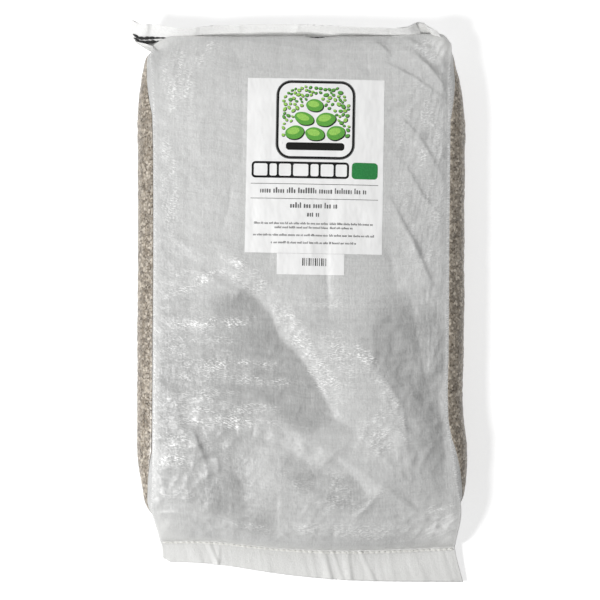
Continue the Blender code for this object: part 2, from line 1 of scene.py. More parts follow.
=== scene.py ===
"""The looks of a woven sack of pumice, lying on its back on a white floor.

Metres, +Z up. The sack is one surface: a row value runs along it (foot hem -1 to 0, filled body
0 to 1, head hem 1 to 2) and a place across it (left crease -1, right crease 1). The front panel
carries the folds, creases and puckers listed below. Labels, print and stitches are laid on that
same surface.
"""

import math
import random

import bmesh
import bpy
import numpy as np
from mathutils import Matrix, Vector, noise
from mathutils.bvhtree import BVHTree


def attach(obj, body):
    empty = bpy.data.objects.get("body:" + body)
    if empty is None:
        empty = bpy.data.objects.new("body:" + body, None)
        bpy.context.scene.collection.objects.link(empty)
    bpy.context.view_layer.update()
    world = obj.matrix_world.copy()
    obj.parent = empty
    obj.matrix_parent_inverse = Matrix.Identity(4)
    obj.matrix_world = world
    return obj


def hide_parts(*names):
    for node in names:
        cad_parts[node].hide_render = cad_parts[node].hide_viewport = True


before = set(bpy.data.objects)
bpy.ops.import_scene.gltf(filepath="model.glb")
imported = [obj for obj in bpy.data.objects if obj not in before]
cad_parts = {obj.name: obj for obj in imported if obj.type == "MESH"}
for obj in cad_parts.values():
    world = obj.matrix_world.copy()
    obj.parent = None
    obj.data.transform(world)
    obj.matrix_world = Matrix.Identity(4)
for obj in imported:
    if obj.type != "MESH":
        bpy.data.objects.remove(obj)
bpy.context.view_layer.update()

# Sack body
PANEL_HALF_WIDTH = 0.234
FOOT_SEAM_Y = -0.402
HEAD_SEAM_Y = 0.395
CREASE_HEIGHT = 0.065
PANEL_CROWN = 0.0225
GUSSET_BULGE = 0.026
UNDERSIDE_ROUNDING = 0.011
UNDERSIDE_ROUNDING_SHARE = 0.16

# How far from each seam the filling reaches its full height, and how squarely
HEAD_ROUNDING = 0.120
FOOT_ROUNDING = 0.170
UNDERSIDE_LIFT = 0.060
HEAD_FULLNESS = {"crease": 2.2, "middle": 3.2}
FOOT_FULLNESS = {"crease": 1.9, "middle": 2.3}
UNDERSIDE_FULLNESS = 2.2
CROWN_FULLNESS = 2.4
OVERHANG_DISTANCE = 0.010

# Seams and hems
HEAD_SEAM_HEIGHT = 0.036
FOOT_SEAM_HEIGHT = 0.012
HEAD_HEM_DEPTH = 0.038
FOOT_HEM_DEPTH = 0.046
FOOT_HEM_SKEW = 0.0125
FOOT_HEM_DROP = 0.006
FOOT_HEM_CORNER = 0.006
HEM_THICKNESS = 0.0024

# Gussets
GUSSET_HEAD_MARGIN = 0.018
GUSSET_FOOT_MARGIN = {-1: 0.045, 1: 0.072}
GUSSET_END_ROUNDING = 0.130
GUSSET_END_FULLNESS = 1.6
GUSSET_SECTION_POWER = 0.8
GUSSET_UNEVENNESS = 0.05
GUSSET_WAVES = {"along": 14, "side": 4.0, "seed": 0.5}
GUSSET_TAPER = 8
GUSSET_TIP_SHARE = 0.55
GUSSET_TIP_MARGIN = 1.2
GUSSET_EDGE, GUSSET_TIP_EDGE = 5, 3
GUSSET_PUSH = 0.0012
GUSSET_THICKNESS = 0.0006
GUSSET_LUMPS = ((0.0006, 0.021, 4.4), (0.0006, 0.010, 6.6))
LUMP_STEEPNESS = 2.2

# Outline irregularities of this sack: place along or across it, and shift
CREASE_SHIFT = {
    -1: (
        (-1, -0.0105), (0, -0.0060), (0.07, 0.0050), (0.11, 0.0025), (0.30, 0.0007), (0.77, 0.0009),
        (0.93, 0.0056), (0.965, 0.0085), (0.986, 0.0060), (1, 0.0350), (2, 0.0385),
    ),
    1: (
        (-1, 0.0255), (0, 0.0115), (0.07, 0.0185), (0.14, 0.0105), (0.20, 0.0040), (0.26, -0.0044),
        (0.40, -0.0035), (0.65, -0.0014), (0.95, 0.0025), (0.975, 0.0055), (0.99, 0.0050), (1, 0.0010),
        (2, -0.0200),
    ),
}
FOOT_SEAM_SHIFT = ((-1, 0.0015), (-0.67, 0.0015), (-0.15, -0.0100), (0.30, -0.0130), (1, -0.0065))
HEAD_SEAM_SHIFT = (
    (-1, 0.0085), (-0.94, -0.0015), (-0.88, -0.0015), (-0.80, 0.0), (-0.7, 0.0), (1, 0.0),
)
HEAD_OVERHANG = (
    (-1, 0.0), (-0.95, 0.0010), (-0.90, 0.0060), (-0.86, 0.0165), (-0.80, 0.0205), (-0.40, 0.0180),
    (0.02, 0.0178), (0.13, 0.0150), (0.24, 0.0175), (0.55, 0.0190), (0.70, 0.0220), (0.86, 0.0255),
    (0.95, 0.0240), (1, 0.0110),
)
HEAD_HEM_REACH = (
    (-1, 0.80), (-0.88, 0.86), (-0.68, 0.60), (-0.45, 0.74), (0, 0.82), (0.40, 0.70), (0.62, 0.62),
    (0.80, 0.60), (0.84, 0.72), (0.87, 0.92), (0.90, 0.97), (0.925, 0.88), (0.95, 0.60), (1, 0.50),
)

# Folds of the front panel. Each has its height (below zero for a crease), how far it reaches to its
# left and its right, seen along its points, and its points in plan.
FOLDS = (
    # The long crease from under the label to the lower right, and the ridge beyond it
    (-0.0145, 0.046, 0.078, (-0.088, 0.004), (-0.05, -0.036), (-0.036, -0.074), (-0.005, -0.105),
     (0.02, -0.141), (0.054, -0.206)),
    (0.0068, 0.02, 0.036, (0.072, -0.06), (0.107, -0.116), (0.138, -0.152), (0.158, -0.184),
     (0.168, -0.285)),
    (0.0045, 0.05, 0.045, (-0.15, 0.01), (-0.125, -0.09), (-0.1, -0.19)),
    # Creases that step down the lower half
    (-0.004, 0.016, 0.026, (-0.14, -0.146), (-0.08, -0.151), (-0.01, -0.158), (0.02, -0.172)),
    (-0.005, 0.018, 0.034, (-0.004, -0.186), (0.045, -0.199), (0.096, -0.224)),
    (-0.0085, 0.03, 0.026, (-0.168, -0.262), (-0.132, -0.266), (-0.108, -0.28), (-0.094, -0.306),
     (-0.088, -0.356)),
    (-0.005, 0.026, 0.044, (0.05, -0.258), (0.08, -0.29), (0.104, -0.32)),
    (0.0062, 0.018, 0.024, (-0.016, -0.222), (0.06, -0.262), (0.13, -0.31), (0.205, -0.368),
     (0.24, -0.394)),
    (-0.003, 0.022, 0.026, (-0.1, -0.222), (-0.04, -0.238), (0.01, -0.27), (0.03, -0.32)),
    # The slack, darker hollow at the right, with creases that run into the gusset
    (-0.0095, 0.03, 0.05, (0.168, 0), (0.19, -0.11), (0.214, -0.21)),
    (0.0032, 0.01, 0.012, (0.23, -0.046), (0.21, -0.095), (0.19, -0.146)),
    (0.0028, 0.008, 0.01, (0.23, -0.088), (0.212, -0.118), (0.196, -0.15)),
    (-0.004, 0.018, 0.042, (0.214, -0.15), (0.222, -0.235), (0.228, -0.33)),
    # Sharp slashes and short tucks at the lower left
    (0.006, 0.004, 0.022, (-0.172, -0.216), (-0.162, -0.244), (-0.15, -0.272)),
    (-0.0018, 0.0025, 0.006, (-0.108, -0.196), (-0.104, -0.212), (-0.103, -0.232)),
    (-0.0015, 0.0025, 0.006, (-0.092, -0.192), (-0.088, -0.204), (-0.09, -0.216)),
    (-0.0018, 0.0025, 0.006, (-0.077, -0.198), (-0.074, -0.212), (-0.078, -0.232)),
    (0.0034, 0.004, 0.012, (-0.152, -0.268), (-0.146, -0.284), (-0.15, -0.3)),
    (0.0026, 0.004, 0.01, (-0.136, -0.262), (-0.13, -0.274), (-0.132, -0.29)),
    (-0.0022, 0.003, 0.02, (-0.038, -0.306), (-0.038, -0.35), (-0.039, -0.394)),
    (0.0036, 0.007, 0.01, (0.08, -0.362), (0.104, -0.338), (0.126, -0.31)),
    (0.0024, 0.006, 0.008, (-0.112, -0.37), (-0.08, -0.376), (-0.048, -0.388)),
    (0.0026, 0.007, 0.012, (-0.235, -0.318), (-0.2, -0.328), (-0.165, -0.326)),
    (0.002, 0.007, 0.01, (-0.235, -0.352), (-0.2, -0.35), (-0.16, -0.356)),
    (-0.003, 0.004, 0.008, (0.05, -0.372), (0.051, -0.39), (0.05, -0.404)),
    # Wrinkles across the left side
    (0.0022, 0.007, 0.01, (-0.238, -0.046), (-0.195, -0.038), (-0.15, -0.05), (-0.11, -0.046)),
    (0.0016, 0.007, 0.01, (-0.205, -0.09), (-0.16, -0.098), (-0.11, -0.088)),
    (0.0024, 0.007, 0.011, (-0.236, -0.124), (-0.19, -0.114), (-0.125, -0.122)),
    (0.0024, 0.007, 0.011, (-0.232, -0.176), (-0.18, -0.166), (-0.11, -0.173), (-0.06, -0.166)),
    (0.0024, 0.007, 0.012, (-0.225, -0.2), (-0.17, -0.192), (-0.1, -0.204), (-0.03, -0.2)),
    (0.0024, 0.007, 0.01, (-0.232, -0.246), (-0.205, -0.236), (-0.178, -0.244)),
    (0.0026, 0.007, 0.01, (-0.232, -0.286), (-0.205, -0.276), (-0.176, -0.284)),
    # The crinkled patch under the label, and the creases beside it
    (0.004, 0.012, 0.016, (-0.132, 0.064), (-0.095, 0.044), (-0.06, 0.01)),
    (0.0026, 0.008, 0.01, (-0.17, 0.034), (-0.13, 0.012), (-0.095, -0.006)),
    (-0.003, 0.01, 0.014, (-0.106, 0.196), (-0.116, 0.13), (-0.13, 0.076)),
    (-0.0014, 0.004, 0.008, (-0.094, 0.345), (-0.094, 0.26), (-0.095, 0.175)),
    # The long arcs at the right of the label
    (0.005, 0.0035, 0.016, (0.134, 0.152), (0.152, 0.118), (0.176, 0.076), (0.207, 0.006)),
    (-0.003, 0.014, 0.018, (0.12, 0.09), (0.14, 0.05), (0.15, 0.01), (0.15, -0.04)),
    (0.0034, 0.0035, 0.014, (0.14, 0.216), (0.166, 0.192), (0.19, 0.15), (0.226, 0.11)),
    (0.0038, 0.0035, 0.014, (0.146, 0.28), (0.184, 0.245), (0.226, 0.176)),
    (0.0022, 0.007, 0.01, (0.176, 0.262), (0.204, 0.232), (0.234, 0.2)),
    (0.0034, 0.004, 0.014, (0.128, 0.362), (0.176, 0.338), (0.232, 0.3)),
    (0.0034, 0.0035, 0.012, (0.168, 0.388), (0.2, 0.358), (0.222, 0.33), (0.236, 0.296)),
    (0.0032, 0.0035, 0.01, (0.166, 0.404), (0.186, 0.39), (0.214, 0.386)),
    (0.003, 0.0035, 0.012, (0.112, 0.398), (0.126, 0.388), (0.142, 0.372)),
    (0.0034, 0.007, 0.012, (0.146, 0.392), (0.19, 0.364), (0.236, 0.328)),
    (-0.003, 0.006, 0.012, (0.095, 0.396), (0.104, 0.366), (0.108, 0.33)),
    (-0.0022, 0.007, 0.012, (0.016, 0.398), (0.03, 0.38), (0.034, 0.352)),
    # Crinkles at the upper left
    (0.0028, 0.006, 0.01, (-0.198, 0.386), (-0.204, 0.35), (-0.206, 0.312)),
    (0.0024, 0.006, 0.008, (-0.172, 0.338), (-0.192, 0.31), (-0.202, 0.28)),
    (-0.0036, 0.014, 0.016, (-0.112, 0.392), (-0.104, 0.374), (-0.098, 0.35)),
    (0.0018, 0.01, 0.012, (-0.15, 0.3), (-0.165, 0.255), (-0.16, 0.215)),
    (0.0018, 0.007, 0.01, (-0.2, 0.084), (-0.17, 0.062), (-0.14, 0.058)),
    (0.0018, 0.006, 0.009, (-0.225, 0.022), (-0.2, 0.014), (-0.175, 0.018)),
    # Folds that the paper label shows
    (-0.0058, 0.007, 0.012, (0.046, 0.18), (0.042, 0.1), (0.04, 0.02), (0.044, -0.05)),
    (0.0042, 0.006, 0.009, (0.066, 0.15), (0.062, 0.1), (0.06, 0.04)),
    (-0.005, 0.006, 0.008, (-0.05, 0.11), (-0.046, 0.078), (-0.05, 0.04)),
    (-0.0034, 0.005, 0.008, (-0.078, 0.16), (-0.072, 0.11), (-0.08, 0.06)),
    (0.004, 0.007, 0.009, (0.012, 0.12), (0.016, 0.07), (0.012, 0.03)),
    (0.003, 0.01, 0.016, (0.1, 0.3), (0.092, 0.22), (0.104, 0.12)),
    (0.0024, 0.014, 0.012, (-0.06, 0.33), (-0.066, 0.25), (-0.056, 0.18)),
)

# Patches of crinkled fabric drawn lighter: middle and half axes in plan, turn in degrees, direction of the
# crinkles in degrees, their size, their height, and how much lighter they are drawn, partly stress whitening
# and mostly painted glints and highlights
CRINKLES = (
    (-0.165, -0.15, 0.09, 0.21, 0, 0, 0.006, 0.00042, 0.40),
    (-0.137, -0.052, 0.105, 0.013, 3, 3, 0.0055, 0.0005, 0.95),
    (-0.15, -0.08, 0.085, 0.011, -3, -3, 0.0055, 0.00045, 0.75),
    (-0.115, -0.118, 0.12, 0.013, -2, -2, 0.0055, 0.0005, 0.95),
    (-0.11, -0.14, 0.125, 0.012, -3, -3, 0.0055, 0.0005, 0.95),
    (-0.16, -0.165, 0.08, 0.011, 2, 2, 0.0055, 0.00045, 0.75),
    (-0.125, -0.184, 0.115, 0.014, -2, -2, 0.006, 0.0006, 1.00),
    (-0.12, -0.206, 0.115, 0.015, -3, -3, 0.006, 0.0006, 1.00),
    (-0.198, -0.238, 0.038, 0.02, 0, -3, 0.0055, 0.0005, 0.85),
    (-0.198, -0.27, 0.042, 0.02, 0, 2, 0.0055, 0.0005, 0.90),
    (-0.2, -0.322, 0.042, 0.014, 2, 3, 0.0055, 0.0005, 0.75),
    (-0.012, -0.06, 0.024, 0.08, 35, -8, 0.0055, 0.0007, 0.90),
    (0.034, -0.135, 0.024, 0.08, 32, -10, 0.0055, 0.0007, 1.00),
    (0.062, -0.11, 0.045, 0.07, 20, -8, 0.0055, 0.00045, 0.65),
    (0.104, -0.112, 0.018, 0.06, 30, -20, 0.0055, 0.0006, 0.95),
    (0.146, -0.19, 0.016, 0.07, 24, -40, 0.0055, 0.00065, 1.00),
    (0.118, -0.222, 0.04, 0.052, 0, 40, 0.0055, 0.0007, 0.80),
    (-0.092, 0.028, 0.06, 0.028, -38, -10, 0.0055, 0.0007, 1.00),
    (-0.195, 0.02, 0.045, 0.04, 0, 12, 0.006, 0.0004, 0.45),
    (-0.168, 0.013, 0.078, 0.013, 23, 20, 0.0055, 0.0006, 0.95),
    (0.1, -0.335, 0.05, 0.012, 38, 20, 0.005, 0.0005, 0.70),
    (0.03, -0.376, 0.07, 0.014, 0, 10, 0.005, 0.00045, 0.55),
    (-0.07, -0.376, 0.06, 0.01, -14, -14, 0.005, 0.00045, 0.60),
    (-0.196, 0.33, 0.034, 0.085, 8, 75, 0.006, 0.00045, 0.80),
    (-0.212, 0.18, 0.022, 0.12, 4, 80, 0.006, 0.00035, 0.60),
    (-0.15, 0.378, 0.04, 0.03, 0, 70, 0.0055, 0.0005, 0.75),
    (0.02, -0.3, 0.09, 0.05, -30, 5, 0.006, 0.0004, 0.40),
    (0.055, -0.02, 0.08, 0.035, 0, 0, 0.006, 0.0003, 0.35),
    (0.2, -0.06, 0.04, 0.1, 0, 88, 0.0065, 0.0004, 0.10),
    (0.19, 0.19, 0.06, 0.22, 0, 80, 0.007, 0.00035, 0.55),
    (0.206, 0.384, 0.05, 0.026, 0, 60, 0.0055, 0.00045, 0.70),
    # Painted highlight on the lower right corner
    (0.226, -0.378, 0.052, 0.066, 0, 30, 0.0055, 0.00025, 1.00),
    (0.13, -0.384, 0.12, 0.024, -4, 0, 0.0055, 0.00035, 0.60),
)

# Patches drawn darker, partly where the fabric lies hard against the dark stones and mostly painted shade of
# the folds: middle, half axes, turn in degrees and strength
PRESSED_AND_SHADED_PATCHES = (
    (0.166, -0.088, 0.106, 0.088, -60, 0.80),
    (0.182, -0.105, 0.07, 0.11, 8, 0.35),
    (-0.215, -0.07, 0.056, 0.33, 0, 0.45),
    (0.216, -0.165, 0.046, 0.17, 3, 1.00),
    (-0.124, -0.316, 0.05, 0.05, 0, 1.00),
    (-0.084, -0.36, 0.06, 0.036, -20, 0.65),
    (-0.012, -0.17, 0.05, 0.08, 35, 0.60),
    (0.064, -0.318, 0.072, 0.034, -27, 0.95),
    (-0.006, -0.286, 0.06, 0.034, -30, 0.70),
    (-0.104, -0.026, 0.048, 0.04, 0, 0.75),
    (0, -0.33, 0.11, 0.05, 0, 0.30),
    (-0.16, -0.17, 0.12, 0.24, 0, 0.75),
    (-0.02, -0.14, 0.06, 0.11, 35, 0.75),
    (0.06, -0.09, 0.05, 0.12, 35, 0.30),
)

# Pleats of the hems: place across the sack, half width, height and lean
FOOT_PLEATS = (
    (-0.78, 0.070, 0.0014, 0.03), (-0.68, 0.040, 0.0022, 0.05), (-0.60, 0.030, 0.0012, -0.03),
    (-0.30, 0.080, 0.0008, 0.0), (-0.05, 0.050, 0.0007, 0.01), (0.02, 0.040, 0.0012, 0.0),
    (0.11, 0.050, 0.0030, 0.01), (0.17, 0.030, 0.0016, 0.03), (0.27, 0.050, 0.0028, -0.02),
    (0.36, 0.040, 0.0018, 0.05), (0.56, 0.060, 0.0008, -0.02), (0.70, 0.090, 0.0016, 0.04),
    (0.90, 0.060, 0.0010, 0.02),
)
HEAD_PLEATS = (
    (-0.93, 0.060, 0.0030, 0.04), (-0.86, 0.030, 0.0016, -0.04), (-0.62, 0.050, 0.0016, 0.05),
    (-0.30, 0.060, 0.0014, 0.0), (0.02, 0.050, 0.0016, 0.08), (0.34, 0.060, 0.0020, -0.05),
    (0.62, 0.050, 0.0022, 0.05), (0.82, 0.040, 0.0008, -0.05), (0.905, 0.030, 0.0010, 0.04),
)

PLEAT_STEEPNESS = 2.2
HEAD_PLEAT_START = 0.30
FOOT_PLEAT_START = 0.35
HEM_RIBS = {"height": 0.0006, "across": 34, "along": 1.5, "seed": 7.7}

# How a fold fades towards its ends and away from its line, and which creases get painted shade beside them,
# partly fabric pressed on the stones
FOLD_SHARPNESS = 1.08
FOLD_TAPER = 0.6
FOLD_SPAN = 4
PRESSED_AND_SHADED_REACH = 0.02
PRESSED_AND_SHADED_SIDE = (-0.002, 0.003)
PRESSED_AND_SHADED_SHARPNESS = 1.5
PRESSED_AND_SHADED_EDGE = 0.7

# Layers of a crinkled patch: size against the listed one, stretch and seed
LONG_CRINKLES = (1.0, 5.5, 0.5)
SHORT_CRINKLES = (0.6, 2.5, 20.5)
WHITE_SPOTS = (3.0, 1.6, 40.5)

# How those layers make a patch's height, and the crests and spots that are whitened most
CRINKLE_BASE = 1.6
CRINKLE_STEEPNESS = 3.2
SHORT_SHARE = 0.8
CREST_STEEPNESS = 2.2
CREST_SHORT_SHARE = 0.4
CREST_EDGE = (0.15, 0.95)
SPOT_EDGE = (-0.35, 0.35)
LEAST_CREST, LEAST_SPOT = 0.35, 0.25
PATCH_EDGE = 0.6

# Small crinkles of the slack fabric: height, size, stretch, turn and seed
CRUMPLE_RIDGES = (
    (0.00105, 0.030, 2.2, -0.5, 1.3), (0.00085, 0.021, 2.0, 0.9, 5.9), (0.00045, 0.013, 2.4, -0.9, 7.7),
)
CRUMPLE_FINE = (0.00040, 0.0085, 2.6, 0.1, 2.2)
CRUMPLE_PATCH = (0.11, 9.4)
CRUMPLE_PATCH_EDGE = (-0.25, 0.35)
LEAST_CRUMPLE = 0.35

# Where the fabric is slackest: how far down and how far right, and how much more it crumples there
LOWER_PART = (-0.02, 0.10)
RIGHT_STRIP = (0.13, 0.19)
CRUMPLE_SHARES = {"panel": 0.60, "slack": 0.95, "right": 0.7}
RIDGE_STEEPNESS = 2.4

# Wrinkles that run out of the foot seam and the head seam: height, reach, width and seed
SEAM_PUCKERS = ((0.0022, 0.040, 0.020, 3.7), (0.0024, 0.045, 0.022, 8.1))
PUCKER_LENGTH_SHARE = 0.35
PUCKER_START = 0.01

# Where the panel's fine relief sets in, and how much of it the paper labels take away
RELIEF_START = {"crease": 0.06, "foot": 0.03, "head": 0.02}
LABEL_STIFFNESS = 0.55
LABEL_STIFF_EDGE = (-0.006, 0.010)

# Labels and their print, in plan
LABEL_X = 0.0203
LABEL_Y = 0.1955
LABEL_WIDTH = 0.2159
LABEL_HEIGHT = 0.2760
LABEL_TURN = math.radians(-1.0)
STOCK_LABEL_WIDTH = 0.106
STOCK_LABEL_HEIGHT = 0.033
STOCK_LABEL_SHIFT = -0.0041
STOCK_LABEL_GAP = 0.0005
LABEL_TOP_MARGIN = 0.016 * LABEL_HEIGHT
EMBLEM_SIZE = 0.442 * LABEL_HEIGHT
EMBLEM_LINE = 0.0045
EMBLEM_CORNER = 0.18 * EMBLEM_SIZE
TITLE_GAP = 0.020 * LABEL_HEIGHT
TITLE_HEIGHT = 0.094 * LABEL_HEIGHT
TITLE_CORNER = 0.23 * TITLE_HEIGHT
RULE_HEIGHT = 0.0012
LARGE_TEXT = 0.029 * LABEL_HEIGHT
SMALL_TEXT = 0.0123 * LABEL_HEIGHT
BLOCK_GAP = 0.0308 * LABEL_HEIGHT
LINE_GAP = 0.0254 * LABEL_HEIGHT
TEXT_GAP = 0.0199 * LABEL_HEIGHT
SMALL_TEXT_GAP = 0.0112 * LABEL_HEIGHT
TITLE_HALF_WIDTH = 0.46 * LABEL_WIDTH
TITLE_SPLIT = 0.26 * LABEL_WIDTH
TITLE_SPLIT_GAP = 0.0043
PRINT_LINES = (
    ("rule_upper", RULE_HEIGHT, BLOCK_GAP, 0.93),
    ("text_line_1", LARGE_TEXT, LINE_GAP, 0.79),
    ("rule_lower", RULE_HEIGHT, LINE_GAP, 0.93),
    ("text_line_2", LARGE_TEXT, LINE_GAP, 0.35),
    ("text_line_3", LARGE_TEXT, TEXT_GAP, 0.10),
    ("text_line_4", SMALL_TEXT, BLOCK_GAP, 0.87),
    ("text_line_5", SMALL_TEXT, SMALL_TEXT_GAP, 0.57),
    ("text_line_6", SMALL_TEXT, BLOCK_GAP, 0.88),
    ("text_line_7", SMALL_TEXT, BLOCK_GAP, 0.62),
)
STONES = (
    (-0.270, -0.164, 0.123, 0.086, 12),
    (-0.008, -0.180, 0.127, 0.082, -8),
    (0.262, -0.164, 0.119, 0.090, 16),
    (-0.148, 0.016, 0.123, 0.082, -18),
    (0.131, 0.008, 0.127, 0.086, 10),
    (-0.016, 0.189, 0.111, 0.078, -6),
)
EMBLEM_GROUND = (0.344, 0.754, 0.098)
BARCODE_WIDTH = 0.36 * STOCK_LABEL_WIDTH
BARCODE_HEIGHT = 0.36 * STOCK_LABEL_HEIGHT
BARCODE_SHIFT = 0.057 * STOCK_LABEL_WIDTH
BARCODE_LIFT = 0.106 * STOCK_LABEL_HEIGHT
BARCODE_BARS = 12
NARROW_BAR, WIDE_BAR = 0.30, 0.55

# Sewing
HEAD_THREAD_OFFSETS = {"inner": 0.008, "outer": 0.0145}
FOOT_THREAD_OFFSET = 0.004
THREAD_END_MARGIN = 0.015
STITCH_LENGTH = 0.009
TIGHT_SWING, OPEN_SWING = 0.5, 0.9
LOOSE_END = 0.95
LOOSE_FROM, LOOSE_TO = (-0.985, -0.955), (-0.88, -0.81)
STEPS_IN_STITCH = 8
STRAND_SHARE = 0.72
STRAND_RISE = (0.35, 0.55)
THREAD_RADIUS = 0.0012

# Whitening, painted glints and highlights, and painted shade of the fabric
CREASE_WHITENING = 0.55
CREASE_WHITE_EDGE = 0.975
DEEP_CREASE = 0.013
# Painted light: how much lighter the head hem is drawn
HEAD_HEM_PAINTED_LIGHT = 0.7
BACKING_START = 0.012
# Painted light: how far the sack's corners are drawn whiter, against the gussets' foot margins and at the
# head
LIT_CORNER_SCALE = 1.5
HEAD_LIT_CORNER = 0.030
# How much darker the painted shade draws the fabric
PRESSED_SHADE = 0.27
CREASE_DEPTH = 0.50

# Tones of the stones behind the clear fabric, from the darkest to the lightest
STONE_TONES = (
    (0.0, (0.09, 0.067, 0.044)), (0.35, (0.19, 0.155, 0.115)),
    (0.7, (0.33, 0.275, 0.21)), (1.0, (0.66, 0.59, 0.49)),
)
INK_ROUGHNESS = 0.5

# Mesh density
FRONT_COLUMNS = 232
SIDE_COLUMNS = 8
UNDER_COLUMNS = 24
BODY_ROWS = 316
HEM_ROWS = 20
ROW_CROWDING = 0.55
COLUMN_CROWDING = 0.12
GUSSET_ROWS = 260
GUSSET_COLUMNS = 34
PRINT_CELL = 0.004
LABEL_CELL = 0.004
SHARP_ANGLE = math.radians(50)

# Thin layers over the fabric
LABEL_LIFT = 0.0002
LABEL_THICKNESS = 0.0003
PRINT_LIFT = 0.0006
PRINT_THICKNESS = 0.0001
GUSSET_PROUD = 0.0004
GUSSET_LOW_SHARE = 0.06
GUSSET_HIGH_SHARE = 0.985
FILLING_GAP = 0.004
FILLING_TOP_GAP = 0.006
FILLING_ROWS, FILLING_COLUMNS = 60, 72
FILLING_ENDS = (0.05, 0.95)
FILLING_WIDTH = 0.94
FILLING_SQUARENESS = 0.35
EMBLEM_GROUND_CORNER = 0.4
EMBLEM_OUTLINE = 0.0014
EMBLEM_DRAWN_LINE = 0.0031
SHADE_SHIFT = 0.0013
PEBBLE_SEED = 11
PEBBLE_TRIES = 4200
PEBBLE_SIZES = (0.0021, 0.0040)
PEBBLE_FLATNESS = (0.58, 0.80)
PEBBLE_TURN = 60
PEBBLE_ROOM = {"stone": 1.02, "edge": 1.6, "corner": 1.12}
PEBBLE_SHADE = (1.18, 1.28)
PEBBLE_SHADE_SHIFT = 0.45 * SHADE_SHIFT
STONE_POINTS = 36
STONE_UNEVENNESS = 0.07
STONE_WAVES, STONE_SEED_STEP = 1.2, 3.1
STONE_SHADE = (1.03, 1.06)
STONE_LIGHT = (0.66, 0.52)
STONE_LIGHT_SHIFT = (-0.12, 0.20)
RULE_SHARE = 0.7

# Bars that stand for text: how many in a group, and their sizes against the line's height
BARS_IN_GROUP = (3, 8)
BAR_WIDTHS = (0.20, 0.34)
BAR_HEIGHTS = (0.74, 0.74, 0.80, 1.10)
BAR_SPACE, GROUP_SPACE = 0.18, 0.55
BAR_CORNER = 0.3
LAST_BAR_ROOM = 0.3

TITLE_LINE = 0.0034
TITLE_BLOCKS = (0.17, 0.09, 0.15, 0.19, 0.10, 0.16, 0.14)
TITLE_BLOCK_CORNER = 0.0028
TAPE = 0.0025

# Camera and light
CAMERA_LENS = 96.1
CAMERA_DISTANCE = 2.6
CAMERA_ELEVATION = 88
CAMERA_AIM = (-0.003, -0.0126, 0.0)
KEY_PLACE = (-2.1, -0.75, 2.2)
KEY_SIZE = 0.8
KEY_POWER = 83
FILL_PLACE = (1.4, 1.8, 2.6)
FILL_SIZE = 1.6
FILL_POWER = 34
WORLD_LIGHT = 0.20
FLOOR_GLOW = 0.50


def between(a, b, share):
    return a + (b - a) * share


def along(points, place):
    """A smooth curve through (place, value) points, for an array of places."""
    xs, ys = (np.array(column, float) for column in zip(*points))
    before, after = np.r_[0, 0 : len(xs) - 1], np.r_[1 : len(xs), len(xs) - 1]
    slopes = (ys[after] - ys[before]) / (xs[after] - xs[before])
    place = np.clip(place, xs[0], xs[-1])
    i = np.clip(np.searchsorted(xs, place) - 1, 0, len(xs) - 2)
    span = xs[i + 1] - xs[i]
    t = (place - xs[i]) / span
    return (
        (2 * t**3 - 3 * t**2 + 1) * ys[i]
        + (t**3 - 2 * t**2 + t) * span * slopes[i]
        + (3 * t**2 - 2 * t**3) * ys[i + 1]
        + (t**3 - t**2) * span * slopes[i + 1]
    )


def quarter_round(share, power):
    share = np.clip(share, 0.0, 1.0)
    return (1 - (1 - share) ** power) ** (1 / power)


def bump(share):
    return np.where(np.abs(share) < 1, (1 - share * share) ** 2, 0.0)


def smooth_step(value, low, high):
    t = np.clip((value - low) / (high - low), 0.0, 1.0)
    return t * t * (3 - 2 * t)


def head_seam_y(across):
    return HEAD_SEAM_Y + along(HEAD_SEAM_SHIFT, across)


def foot_seam_y(across):
    return FOOT_SEAM_Y + along(FOOT_SEAM_SHIFT, across)


def seam_distances(across, row):
    length = head_seam_y(across) - foot_seam_y(across)
    row = np.clip(row, 0.0, 1.0)
    return row * length, (1 - row) * length


def head_hem_reach(across):
    return HEAD_HEM_DEPTH * along(HEAD_HEM_REACH, across)


def foot_hem_reach(across):
    corner_place = (across + 1) * PANEL_HALF_WIDTH
    rounded_corner = FOOT_HEM_CORNER * bump(corner_place / (2 * FOOT_HEM_CORNER))
    return FOOT_HEM_DEPTH + FOOT_HEM_SKEW * across - rounded_corner


def place_y(across, row, share=1.0):
    foot, head = foot_seam_y(across), head_seam_y(across)
    distance = seam_distances(across, row)[1] / OVERHANG_DISTANCE
    overhang = along(HEAD_OVERHANG, across) * distance * np.exp(1 - distance)
    body = between(foot, head, np.clip(row, 0, 1)) + share * np.where(row > 0, overhang, 0.0)
    beyond_foot = np.minimum(row, 0) * foot_hem_reach(across)
    beyond_head = np.maximum(row - 1, 0) * head_hem_reach(across)
    return body + beyond_foot + beyond_head


def crease_x(side, row):
    return side * (PANEL_HALF_WIDTH + along(CREASE_SHIFT[side], row))


def place_x(across, row):
    return between(crease_x(-1, row), crease_x(1, row), (across + 1) / 2)


def seam_height(row):
    return between(FOOT_SEAM_HEIGHT, HEAD_SEAM_HEIGHT, np.clip(row, 0.0, 1.0))


def pleats(across, out, listed):
    """Height of a hem's pleats, which lean sideways as they run out from the seam."""
    ribs = noise_at(across * HEM_RIBS["across"], out * HEM_RIBS["along"], HEM_RIBS["seed"])
    total = HEM_RIBS["height"] * ribs
    for middle, half, height, lean in listed:
        share = (across - middle - lean * out) / half
        total += height * bump(np.where(share > 0, PLEAT_STEEPNESS * share, share))
    return total


